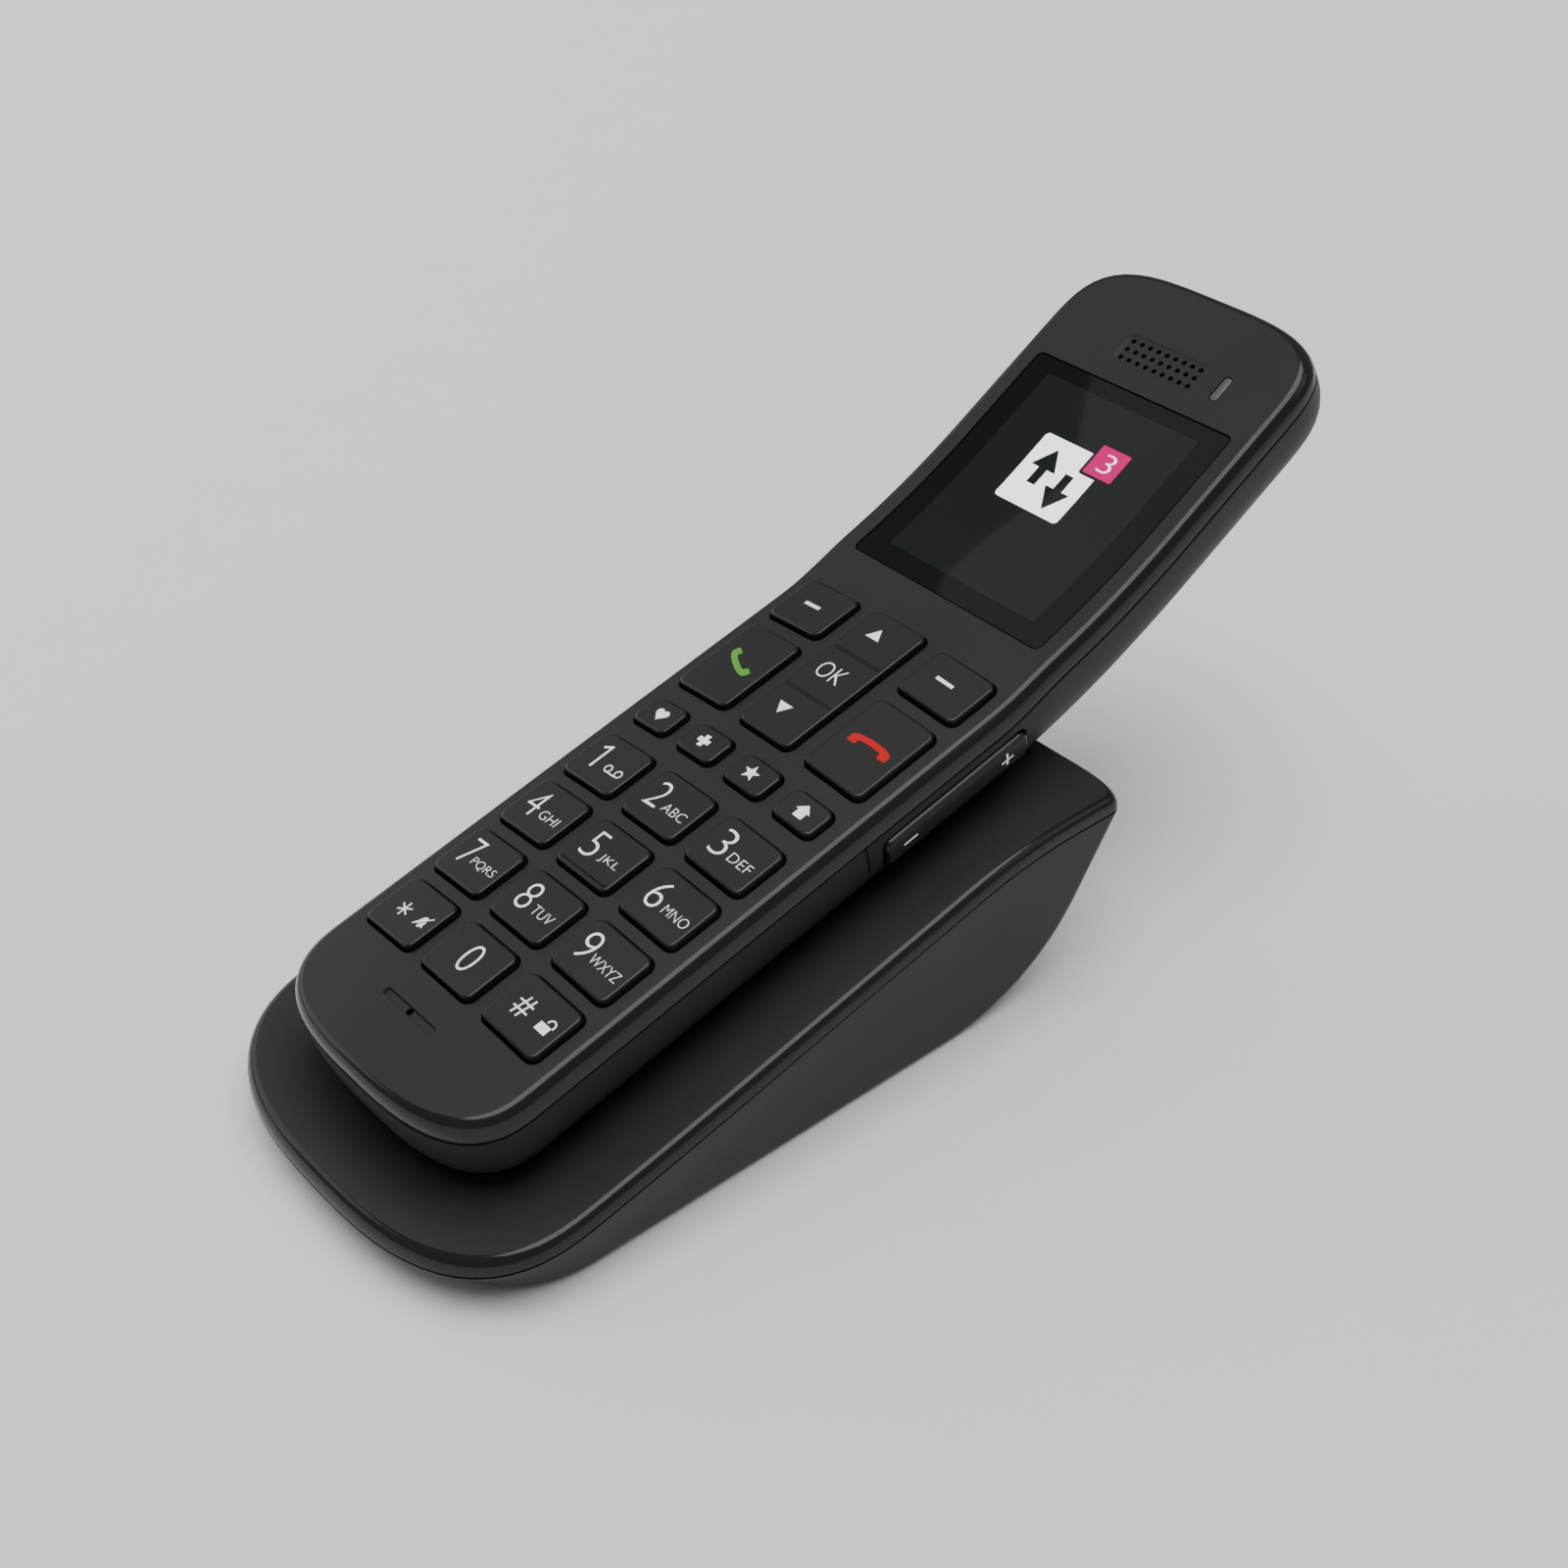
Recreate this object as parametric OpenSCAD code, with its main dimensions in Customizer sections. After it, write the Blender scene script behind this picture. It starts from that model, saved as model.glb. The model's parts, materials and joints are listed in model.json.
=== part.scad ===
// Cordless phone lying in its charging base.
// +Z is up, +Y runs from the microphone end to the earpiece end, +X is the volume rocker's side.
// Handset pieces are drawn in (x, s, h): s runs along the front face, h stands out of it.

/* [Handset] */
// Width of the handset at its side seam
handset_w = 46.8; // [46.6:0.1:47]
// Length of the handset along its front face
handset_len = 175.4; // [175:0.1:176]
// Length of the straight keypad part
grip_len = 97.2; // [97:0.1:98]
// Radius of the bend between keypad and earpiece
bend_radius = 140; // [138:1:145]
// Angle between the keypad part and the display part
bend_angle = 16.2; // [15.8:0.1:16.6]
// Depth of the front shell, from the face down to the seam
seam_depth = 3.4; // [3.3:0.1:3.5]
// Depth of the back shell under the keypad, from the seam down
back_depth = 15.2; // [15.2:0.1:15.6]
// Depth of the back shell behind the earpiece
back_depth_top = 14.2; // [14:0.1:14.6]
// Wall of the handset's back pieces
back_wall = 1.4; // [1.3:0.1:1.5]
// Wall of the front shell
face_wall = 1.6; // [1.6:0.1:1.7]
// How far the middle of the keypad stands above its edge-to-edge mean plane
crown_rise = 0.5; // [0.4:0.05:0.6]
// Where the battery cover ends, along the face
cover_len = 71.3; // [71:0.1:71.6]

/* [Keys] */
// Width of a number key
key_w = 11; // [10.8:0.1:11.2]
// Length of a number key
key_l = 9.1; // [8.9:0.1:9.2]
// Distance between columns of number keys
col_pitch = 13.9; // [13.8:0.1:14]
// Distance between rows of number keys
row_pitch = 11.75; // [11.7:0.05:11.8]
// Centre of the lowest row of keys, along the face
first_row = 21.5; // [21.3:0.1:21.7]
// How far a key stands out of the face
key_lift = 0.85; // [0.7:0.05:0.95]
// How far a key travels
key_travel = 0.5; // [0.4:0.05:0.5]

/* [Display] */
// Width of the display lens
lens_w = 38.5; // [38:0.1:39]
// Length of the display lens
lens_l = 44; // [43.6:0.1:44.4]
// Centre of the display lens, along the face
lens_mid = 132.2; // [132:0.1:132.6]
// Thickness of the display lens
lens_t = 1; // [0.9:0.05:1]

/* [Base] */
// Width of the base at its seam
base_w = 67; // [66.8:0.1:67.4]
// Length of the base
base_len = 119.5; // [119:0.1:120]
// Height of the seam at the flat rear end
rear_seam_h = 30.2; // [30:0.1:30.4]
// Angle at which the handset lies
rest_tilt = 14.5; // [14.3:0.1:14.7]
// Height of the glossy rim above the seam
rim_h = 2.4; // [2.3:0.1:2.5]
// Wall of the base shells
base_wall = 1.8; // [1.6:0.1:1.9]
// How far the rubber feet stand out of the bottom
foot_lift = 0.9; // [0.8:0.1:1]

/* [Fits] */
// Gap at a seam between two shells
seam_gap = 0.3; // [0.3:0.05:0.35]
// Gap around a key in its hole
key_gap = 0.3; // [0.25:0.05:0.3]

/* [Hidden] */

BLACK = [0.09, 0.09, 0.1];
KEY_BLACK = [0.11, 0.11, 0.12];
BOARD_GREEN = [0.1, 0.3, 0.16];
STEEL = [0.72, 0.73, 0.75];
GOLD = [0.83, 0.68, 0.33];
RUBBER = [0.16, 0.16, 0.17];

half_w = handset_w / 2;
bend_len = bend_radius * bend_angle * PI / 180;
bend_end = grip_len + bend_len;
round_pow = 2.75;
high_round_pow = 3.7;
low_end_round = 14.4;
high_end_round = 16.9;
crown_curve = 0.0031;
crown_fade_s = [98, 112];
crown_fade_h = 12;
bevel_in = 1.7;
bevel_h = seam_depth - seam_gap;
back_pow = 3;
low_boat = 14;
high_boat = 20;

// Where the handset's face starts: distance behind the base's front, and height
seat_y = 6.5;
seat_z = 24.4;
// Depth of the base's seam under the plane of the keypad
seam_below_face = 17.5;
front_seam_rise = 1.6;
front_rise_len = 50;
rear_blend = 2.5;
handset_back = seam_depth + back_depth;
dish_gap = 0.5;
rim_in = 1.4;
dish_edge = 0.6;
dish_front_mid = 34;
dish_rear_mid = 85;

base_half = base_w / 2;
base_round_pow = 2.73;
base_front_round = 22.5;
base_rear_corner = 10.4;
base_rear_round = 3.5;
rear_corner_growth = 4.4;
bottom_z = foot_lift;
stern_slope = 70.4;
stern_radius = 23;
side_draft = 2.6;
bottom_round = 0.6;
bottom_round_from = 0.7;

// The whole is centred along Y: half of the way from the base's front to the handset's far end
far_end = max([for (d = [0:0.5:back_depth_top]) raw_point(0, back_end_s(d), -seam_depth - d)[1]]);
shift_y = -far_end / 2;

// --- the handset's bent face ---------------------------------------------------------------

function clamp(v, lo, hi) = min(max(v, lo), hi);
function mix(a, b, t) = a + (b - a) * t;
function smooth(t) = let (c = clamp(t, 0, 1)) c * c * (3 - 2 * c);
function face_angle(s) = rest_tilt + bend_angle * clamp((s - grip_len) / bend_len, 0, 1);

// (y, z) of a point on the face, before the whole is centred
function face_point(s) =
    let (low = min(s, grip_len), a = face_angle(s), top = max(0, s - bend_end))
    [seat_y + low * cos(rest_tilt) + bend_radius * (sin(a) - sin(rest_tilt)) + top * cos(a),
     seat_z + low * sin(rest_tilt) + bend_radius * (cos(rest_tilt) - cos(a)) + top * sin(a)];
function raw_point(x, s, h) =
    let (f = face_point(s), a = face_angle(s)) [x, f[0] - h * sin(a), f[1] + h * cos(a)];

// The keypad is crowned from side to side; the crown fades out towards the display and the back
function crown_at(x, s) =
    (crown_rise - crown_curve * x * x)
    * (1 - smooth((s - crown_fade_s[0]) / (crown_fade_s[1] - crown_fade_s[0])));
function bent(x, s, h) =
    let (fade = clamp(1 + (h + seam_depth) / crown_fade_h, 0, 1),
         p = raw_point(x, s, h + crown_at(x, s) * fade))
    [x, p[1] + shift_y, p[2]];

// Places children drawn in (x, s, h) on the plane that touches the face at s0
module at_face(s0) {
    translate([0, face_point(s0)[0] + shift_y, face_point(s0)[1]])
        rotate([face_angle(s0), 0, 0])
            translate([0, -s0, 0])
                children();
}

// --- outlines and lofts --------------------------------------------------------------------

END_ANGLES = [6, 18, 30, 42, 54, 66, 76, 84, 90];

// Right half of a closed outline from its low end to its high end, as [x, s] points.
// half is the half width; corner0 and corner1 are how far each end's rounding reaches in x and s;
// pow_m and pow_n are how square the low and the high end are.
function half_outline(half, s0, s1, corner0, corner1, n, pow_m, pow_n) = concat(
    [for (p = END_ANGLES)
        [half - corner0[0] * (1 - pow(sin(p), 2 / pow_m)), s0 + corner0[1] * (1 - pow(cos(p), 2 / pow_m))]],
    [for (i = [1:n - 1]) [half, mix(s0 + corner0[1], s1 - corner1[1], i / n)]],
    [for (i = [len(END_ANGLES) - 1:-1:0])
        let (p = END_ANGLES[i])
        [half - corner1[0] * (1 - pow(sin(p), 2 / pow_n)),
         s1 - corner1[1] * (1 - pow(cos(p), 2 / pow_n))]]);
function mirrored(pts) =
    concat(pts, [for (i = [len(pts) - 1:-1:0]) [-pts[i][0], pts[i][1], pts[i][2]]]);

// A closed solid through rings of equal length; each ring is symmetric about x = 0,
// so the first and the last one are closed by flat strips from side to side.
module loft(rings) {
    n = len(rings[0]);
    last = (len(rings) - 1) * n;
    sides = [for (k = [0:len(rings) - 2], i = [0:n - 1])
        let (a = k * n + i, b = k * n + (i + 1) % n)
        each [[a, b, b + n], [a, b + n, a + n]]];
    strips = [for (i = [0:n / 2 - 2]) [i, i + 1, n - 2 - i, n - 1 - i]];
    first_cap = [for (f = strips) [f[3], f[2], f[1], f[0]]];
    last_cap = [for (f = strips) [for (v = f) v + last]];
    polyhedron(points = [for (r = rings) each r], faces = concat(first_cap, sides, last_cap));
}

function face_outline(inset) =
    half_outline(half_w - inset, inset, handset_len - inset, [half_w - inset, low_end_round - inset],
        [half_w - inset, high_end_round - inset], 22, round_pow, high_round_pow);
// One ring of the handset's outline, inset evenly and lying h above the face
function face_ring(inset, h) = mirrored([for (p = face_outline(inset)) bent(p[0], p[1], h)]);
// A ring on the crowned face itself, shrunk by f towards the middle line
crown_mid = [20, 155];
function crown_ring(f) = mirrored([
    for (p = face_outline(bevel_in))
        bent(p[0] * f, mix(clamp(p[1], crown_mid[0], crown_mid[1]), p[1], f), 0)]);

// The depth of the back below the seam, along the handset
function depth_at(s) = mix(back_depth, back_depth_top, smooth((s - 105) / 30));
function back_end_s(d) =
    handset_len - high_boat * (1 - pow(1 - pow(d / back_depth_top, back_pow), 1 / back_pow));

// One ring of the back, a quarter-turn angle q below the seam: 0 is the seam, 90 the spine
function back_ring(q, inset, lift) =
    let (c = pow(cos(q), 2 / back_pow), d = pow(sin(q), 2 / back_pow), half = (half_w - inset) * c)
    mirrored([for (p = half_outline(half, inset + low_boat * (1 - c),
            handset_len - inset - high_boat * (1 - c),
            [half, (low_end_round - inset) * c], [half, (high_end_round - inset) * c], 22,
            round_pow, high_round_pow))
        bent(p[0], p[1], lift - seam_depth - (depth_at(p[1]) - inset) * d)]);

BACK_ANGLES = [0, 12, 24, 36, 48, 59, 69, 78];

module back_bowl() {
    inner = [for (i = [len(BACK_ANGLES) - 1:-1:0])
        back_ring(BACK_ANGLES[i], back_wall, BACK_ANGLES[i] == 0 ? -seam_gap / 2 : 0)];
    outer = [for (q = BACK_ANGLES) back_ring(q, 0, q == 0 ? -seam_gap / 2 : 0)];
    loft(concat(inner, outer));
}

// A flat outline with round corners
CORNER_STEPS = 4;
function rect_points(w, l, r) =
    [for (c = [[1, 1, 0], [-1, 1, 90], [-1, -1, 180], [1, -1, 270]], i = [0:CORNER_STEPS])
        [c[0] * (w / 2 - r) + r * cos(c[2] + 90 * i / CORNER_STEPS),
         c[1] * (l / 2 - r) + r * sin(c[2] + 90 * i / CORNER_STEPS)]];
module round_rect(w, l, r) {
    polygon(rect_points(w, l, r));
}
module slab(x, s, w, l, r, h0, h1) {
    translate([x, s, h0])
        linear_extrude(h1 - h0)
            round_rect(w, l, r);
}
module post(x, s, r, h0, h1) {
    translate([x, s, h0])
        cylinder(r = r, h = h1 - h0, $fn = 48);
}

// A plate that follows the bend of the face
module bent_plate(w, s0, s1, r, h0, h1) {
    outline = half_outline(w / 2, s0, s1, [r, r], [r, r], 14, 2, 2);
    loft([for (h = [h1, h0]) mirrored([for (p = outline) bent(p[0], p[1], h)])]);
}

// A coil spring standing on z0, with flat steps of its own wire
module coil_spring(r, wire_r, z0, length, turns) {
    per_turn = 10;
    sides = 6;
    n = turns * per_turn;
    rings = [for (i = [0:n])
        let (a = 360 * i / per_turn, z = z0 + wire_r + (length - 2 * wire_r) * i / n)
        [for (k = [0:sides - 1])
            let (b = 360 * k / sides, q = r + wire_r * cos(b))
            [q * cos(a), q * sin(a), z + wire_r * sin(b)]]];
    faces = [for (i = [0:n - 1], k = [0:sides - 1])
        let (a = i * sides + k, b = i * sides + (k + 1) % sides)
        each [[a, b, b + sides], [a, b + sides, a + sides]]];
    polyhedron(points = [for (r = rings) each r],
        faces = concat([[for (k = [sides - 1:-1:0]) k]], faces, [[for (k = [0:sides - 1]) n * sides + k]]));
}

// --- keys ----------------------------------------------------------------------------------

key_r = 1.1;
flange_out = 0.5;
flange_top = -face_wall - 0.4;
flange_t = 0.6;
pocket_top = flange_top + 0.1;
cap_low = -2;
small_key = [7.35, 5.4];
small_x = [-15.5, -5.2, 5.2, 15.5];
small_s = 67.9;
side_key_x = 14.05;
soft_key = [11, 9.2];
soft_s = 97.1;
hook_key = [11.05, 15.3];
hook_s = 82;
nav_size = [10.5, 27.9];
nav_s = 88.2;

function col_x(col) = (col - 1) * col_pitch;
function row_s(row) = first_row + row * row_pitch;

// Every key as [x, s, width, length]
KEYS = concat(
    [for (row = [0:3], col = [0:2]) [col_x(col), row_s(row), key_w, key_l]],
    [for (x = small_x) [x, small_s, small_key[0], small_key[1]]],
    [for (side = [-1, 1]) [side * side_key_x, soft_s, soft_key[0], soft_key[1]]],
    [for (side = [-1, 1]) [side * side_key_x, hook_s, hook_key[0], hook_key[1]]]);

// A key's block: flat below, and above it lies along the crowned face, h1 above it
module key_block(x, s, w, l, r, h0, h1) {
    rim = rect_points(w, l, r);
    n = len(rim);
    lean = -2 * crown_curve * x;
    level = crown_rise - crown_curve * x * x + h1;
    polyhedron(
        points = concat([for (p = rim) [x + p[0], s + p[1], h0]],
            [for (p = rim) [x + p[0], s + p[1], level + lean * p[0]]]),
        faces = concat([[for (i = [0:n - 1]) i]], [[for (i = [n - 1:-1:0]) n + i]],
            [for (i = [0:n - 1]) [i, n + i, n + (i + 1) % n, (i + 1) % n]]));
}
module key_cap(x, s, w, l) {
    color(KEY_BLACK)
        at_face(0) {
            key_block(x, s, w, l, key_r, flange_top - 0.1, key_lift);
            slab(x, s, w + 2 * flange_out, l + 2 * flange_out, key_r, flange_top - flange_t, flange_top);
        }
}
module number_key(col, row) {
    key_cap(col_x(col), row_s(row), key_w, key_l);
}
module small_cap(i) {
    key_cap(small_x[i], small_s, small_key[0], small_key[1]);
}
module key_1() { number_key(0, 3); }
module key_2() { number_key(1, 3); }
module key_3() { number_key(2, 3); }
module key_4() { number_key(0, 2); }
module key_5() { number_key(1, 2); }
module key_6() { number_key(2, 2); }
module key_7() { number_key(0, 1); }
module key_8() { number_key(1, 1); }
module key_9() { number_key(2, 1); }
module key_asterisk() { number_key(0, 0); }
module key_0() { number_key(1, 0); }
module key_hash() { number_key(2, 0); }
module key_heart() { small_cap(0); }
module key_plus() { small_cap(1); }
module key_star() { small_cap(2); }
module key_home() { small_cap(3); }
module soft_key_left() { key_cap(-side_key_x, soft_s, soft_key[0], soft_key[1]); }
module soft_key_right() { key_cap(side_key_x, soft_s, soft_key[0], soft_key[1]); }
module call_key() { key_cap(-side_key_x, hook_s, hook_key[0], hook_key[1]); }
module end_key() { key_cap(side_key_x, hook_s, hook_key[0], hook_key[1]); }

// The up/OK/down bar: it rocks on the plunger, so only its middle has a flange
nav_flange_l = 8;
nav_under = cap_low - 0.4;
module nav_key() {
    color(KEY_BLACK)
        at_face(0) {
            slab(0, nav_s, nav_size[0], nav_size[1], key_r, cap_low, crown_rise + key_lift);
            slab(0, nav_s, nav_size[0] + 2 * flange_out, nav_flange_l, key_r, nav_under, cap_low);
        }
}

plunger_r = 1.6;
plunger_low = -3.7;
plunger_tip_r = 0.3;
plunger_tip_h = 0.35;
module ok_plunger() {
    color(RUBBER)
        at_face(0) {
            post(0, nav_s, plunger_r, plunger_low, nav_under - plunger_tip_h);
            translate([0, nav_s, nav_under - plunger_tip_h])
                cylinder(r1 = plunger_r, r2 = plunger_tip_r, h = plunger_tip_h, $fn = 48);
        }
}

// --- what lies under the keys --------------------------------------------------------------

mat_gap = 0.15;
mat_top = flange_top - flange_t - key_travel - mat_gap;
mat_t = 0.55;
mat_s = [15.6, 103.4];
mat_w = 41;
nub_r = 1.5;
nub_low = mat_top - mat_t - 0.35;
board_top = -4.6;
board_t = 0.8;
dome_t = 0.3;
dome_r = 2.4;
nav_dome_step = 10;

module keypad_mat() {
    color([0.75, 0.75, 0.73])
        at_face(0)
            difference() {
                union() {
                    slab(0, (mat_s[0] + mat_s[1]) / 2, mat_w, mat_s[1] - mat_s[0], 4,
                        mat_top - mat_t, mat_top);
                    for (k = KEYS)
                        post(k[0], k[1], nub_r, nub_low, mat_top - mat_t + 0.1);
                    for (side = [-1, 1])
                        post(0, nav_s + side * nav_dome_step, nub_r, nub_low, mat_top - mat_t + 0.1);
                }
                post(0, nav_s, plunger_r + 0.4, mat_top - mat_t - 1, mat_top + 1);
            }
}

module dome_switches() {
    color(STEEL)
        at_face(0) {
            for (k = KEYS)
                post(k[0], k[1], dome_r, board_top, board_top + dome_t);
            for (i = [-1, 0, 1])
                post(0, nav_s + i * nav_dome_step, dome_r, board_top, board_top + dome_t);
        }
}

boss_x = 15;
boss_s = 12.5;
boss_r = 2.4;
main_board_s = [7.5, 104];
main_board_w = 39;

module main_board() {
    color(BOARD_GREEN)
        at_face(0)
            difference() {
                union() {
                    slab(0, (main_board_s[0] + main_board_s[1]) / 2, main_board_w,
                        main_board_s[1] - main_board_s[0], 7, board_top - board_t, board_top);
                    // Radio shield and connector on the lower side, beyond the battery bay
                    slab(0, 86, 26, 18, 0.8, board_top - board_t - 2.2, board_top - board_t);
                    slab(0, 100, 14, 4, 0.4, board_top - board_t - 1.4, board_top - board_t);
                }
                for (side = [-1, 1])
                    post(side * boss_x, boss_s, boss_r + 0.3, board_top - board_t - 1, board_top + 1);
            }
}

// --- handset shells ------------------------------------------------------------------------

mic_s = 11.2;
mic_slot = [11.6, 1.5];
mic_slot_depth = 0.4;
mic_hole_r = 0.6;
grille_s = 160.6;
grille_pitch = [1.67, 1.63];
grille_hole_r = 0.42;
led_x = 11.8;
led_size = [1.3, 4.6];
window_in = 2.6;
screw_hole_r = 1;
// The flat pocket under the crowned keypad, where the keys' flanges lie
pocket_s = [8.5, 104.5];
pocket_w = 40.6;
pocket_r = 3;

module front_shell() {
    crowned = [for (f = [0.2, 0.4, 0.6, 0.8]) crown_ring(f)];
    outer = [for (q = [90, 67.5, 45, 22.5, 0])
        face_ring(bevel_in * (1 - cos(q)), -bevel_h * (1 - sin(q)))];
    low = -seam_depth + seam_gap / 2;
    inner = [face_ring(face_wall, low), face_ring(face_wall, -2.8),
        face_ring(face_wall + 0.3, -2.1), face_ring(face_wall + 1.2, -face_wall)];
    color(BLACK)
        difference() {
            union() {
                difference() {
                    loft(concat(crowned, outer, [face_ring(0, low)], inner));
                    at_face(0)
                        slab(0, (pocket_s[0] + pocket_s[1]) / 2, pocket_w, pocket_s[1] - pocket_s[0],
                            pocket_r, -4, pocket_top);
                }
                at_face(0)
                    for (side = [-1, 1])
                        post(side * boss_x, boss_s, boss_r, board_top - board_t - 0.1, -face_wall + 0.3);
            }
            at_face(0) {
                slab(0, nav_s, nav_size[0] + 2, nav_flange_l + 2, key_r, -3, -face_wall);
                for (k = KEYS)
                    slab(k[0], k[1], k[2] + 2 * key_gap, k[3] + 2 * key_gap, key_r + key_gap, -3, 2);
                slab(0, nav_s, nav_size[0] + 2 * key_gap, nav_size[1] + 2 * key_gap, key_r + key_gap, -3, 2);
                slab(0, mic_s, mic_slot[0], mic_slot[1], 0.7, -mic_slot_depth, 1);
                post(0, mic_s, mic_hole_r, -3, 1);
                for (side = [-1, 1])
                    post(side * boss_x, boss_s, screw_hole_r, -7, -2);
            }
            bent_plate(lens_w + 0.2, lens_mid - lens_l / 2 - 0.1, lens_mid + lens_l / 2 + 0.1,
                0.9, -lens_t - 0.02, 1);
            bent_plate(lens_w - 2 * window_in, lens_mid - lens_l / 2 + window_in,
                lens_mid + lens_l / 2 - window_in, 0.8, -3, -0.5);
            at_face(grille_s) {
                for (i = [-4:4], j = [-1:1])
                    post(i * grille_pitch[0], grille_s + j * grille_pitch[1], grille_hole_r, -3, 1);
                slab(led_x, grille_s, led_size[0] + 0.1, led_size[1] + 0.1, 0.65, -3, 1);
            }
        }
}

// Keeps the part of the back from s0 to s1; both lie on the straight keypad part
module cut_back(s0, s1) {
    intersection() {
        back_bowl();
        at_face(0)
            translate([-handset_w, s0, -60])
                cube([2 * handset_w, s1 - s0, 120]);
    }
}

module battery_cover() {
    color(BLACK)
        cut_back(-20, cover_len - seam_gap / 2);
}

rocker_s = [74.3, 101.9];
rocker_h = [-11.5, -6.3];
rocker_gap = 0.35;
rocker_mid = (rocker_s[0] + rocker_s[1]) / 2;
pad_x = 7;
pad_s = 77;
pad_r = 2.5;
pad_out = 0.1;
ringer_s = 150;

module back_shell() {
    color(BLACK)
        difference() {
            cut_back(cover_len + seam_gap / 2, 2 * handset_len);
            at_face(0) {
                translate([half_w - 6, rocker_s[0] - rocker_gap, rocker_h[0] - rocker_gap])
                    cube([10, rocker_s[1] - rocker_s[0] + 2 * rocker_gap,
                        rocker_h[1] - rocker_h[0] + 2 * rocker_gap]);
                for (side = [-1, 1])
                    post(side * pad_x, pad_s, pad_r, -handset_back - 1, -handset_back + 4);
            }
            at_face(ringer_s)
                for (i = [-2:2])
                    slab(i * 2.4, ringer_s, 1.1, 8 - abs(i), 0.5, -25, -12);
        }
}

// The rocker's outer side follows the side of the back shell and stands a little out of it
module volume_rocker() {
    section = [[21, rocker_h[1]], [23.75, rocker_h[1]], [24.1, -6.8], [24, -8.1], [23.75, -9.4],
        [23.3, -10.6], [22.85, rocker_h[0]], [21, rocker_h[0]]];
    color(KEY_BLACK)
        at_face(0)
            translate([0, rocker_s[1], 0])
                rotate([90, 0, 0])
                    linear_extrude(rocker_s[1] - rocker_s[0])
                        polygon(section);
}

switch_x = [17.2, 20.2];
switch_step = 9;
module rocker_switches() {
    color(STEEL)
        at_face(0)
            for (side = [-1, 1]) {
                translate([switch_x[0], rocker_mid + side * switch_step - 2.2, board_top - board_t - 4.2])
                    cube([2, 4.4, 4.2]);
                translate([switch_x[0] + 2, rocker_mid + side * switch_step, board_top - board_t - 3.2])
                    rotate([0, 90, 0])
                        cylinder(r = 0.9, h = switch_x[1] - switch_x[0] - 2, $fn = 48);
            }
}

// --- display, sound and light --------------------------------------------------------------

module display_lens() {
    color([0.02, 0.02, 0.03])
        bent_plate(lens_w, lens_mid - lens_l / 2, lens_mid + lens_l / 2, 0.8, -lens_t, -0.02);
}

module display_module() {
    color([0.13, 0.15, 0.19])
        at_face(lens_mid)
            slab(0, lens_mid + 0.3, 33, 40.5, 0.6, -4.6, -2.2);
}

module display_board() {
    color(BOARD_GREEN)
        at_face(lens_mid)
            slab(0, 140.5, 34, 54, 4, -6.6, -5.7);
}

module earpiece_speaker() {
    color(STEEL)
        at_face(grille_s)
            slab(0, grille_s, 16, 8, 3.2, -5.4, -2.3);
}
module earpiece_felt() {
    color([0.1, 0.1, 0.1])
        at_face(grille_s)
            slab(0, grille_s, 18, 7, 1.5, -2.1, -face_wall - 0.05);
}
module light_pipe() {
    color([0.75, 0.76, 0.78])
        at_face(grille_s)
            slab(led_x, grille_s, led_size[0], led_size[1], 0.6, -4.2, -0.05);
}
module microphone() {
    color(STEEL)
        at_face(0)
            post(0, mic_s, 2, -3.6, pocket_top - 0.02);
}
module ringer_speaker() {
    color(STEEL)
        at_face(ringer_s) {
            post(0, ringer_s, 8, -12.2, -8.6);
            post(0, ringer_s, 5, -8.6, -7.8);
        }
}

// --- battery -------------------------------------------------------------------------------

cell_r = 5.25;
cell_len = 44.5;
cell_x = 5.7;
cell_s = 16.2;
bay_wall = 1;
bay_low_s = 11.8;
bay_high_s = 61.2;
contact_t = 0.4;
contact_w = 7.2;
cell_h = -11.6;
bay_top = -5.5;
bay_plate_t = 0.7;
bay_s = [8, 70];
bay_half = 11.3;

module battery_bay() {
    low = cell_h - 1.5;
    color(KEY_BLACK)
        at_face(0)
            difference() {
                union() {
                    slab(0, (bay_s[0] + bay_s[1]) / 2, 39, bay_s[1] - bay_s[0], 8,
                        bay_top - bay_plate_t, bay_top);
                    for (side = [-1, 1])
                        translate([side * (bay_half + bay_wall / 2) - bay_wall / 2, bay_low_s, low])
                            cube([bay_wall, bay_high_s + bay_wall - bay_low_s, bay_top - low]);
                    for (s = [bay_low_s, bay_high_s])
                        translate([-bay_half - bay_wall / 2, s, low])
                            cube([2 * bay_half + bay_wall, bay_wall, bay_top - low]);
                }
                for (side = [-1, 1])
                    post(side * boss_x, boss_s, screw_hole_r + 0.2, bay_top - 2, bay_top + 1);
            }
}

module battery_cell(side) {
    color([0.2, 0.42, 0.3])
        at_face(0)
            translate([side * cell_x, cell_s, cell_h])
                rotate([-90, 0, 0]) {
                    cylinder(r = cell_r, h = cell_len - 1, $fn = 48);
                    cylinder(r = 1.9, h = cell_len, $fn = 48);
                }
}
module battery_cell_left() { battery_cell(-1); }
module battery_cell_right() { battery_cell(1); }

module battery_springs() {
    color(STEEL)
        at_face(0)
            for (side = [-1, 1])
                translate([side * cell_x, bay_low_s + bay_wall, cell_h])
                    rotate([-90, 0, 0]) {
                        translate([-contact_w / 2, -contact_w / 2, 0])
                            cube([contact_w, contact_w, contact_t]);
                        coil_spring(2.4, 0.3, contact_t - 0.1, 3, 3);
                    }
}
module battery_plate() {
    color(STEEL)
        at_face(0)
            translate([-cell_x - contact_w / 2, bay_high_s - contact_t, cell_h - contact_w / 2])
                cube([2 * cell_x + contact_w, contact_t, contact_w]);
}

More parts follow.
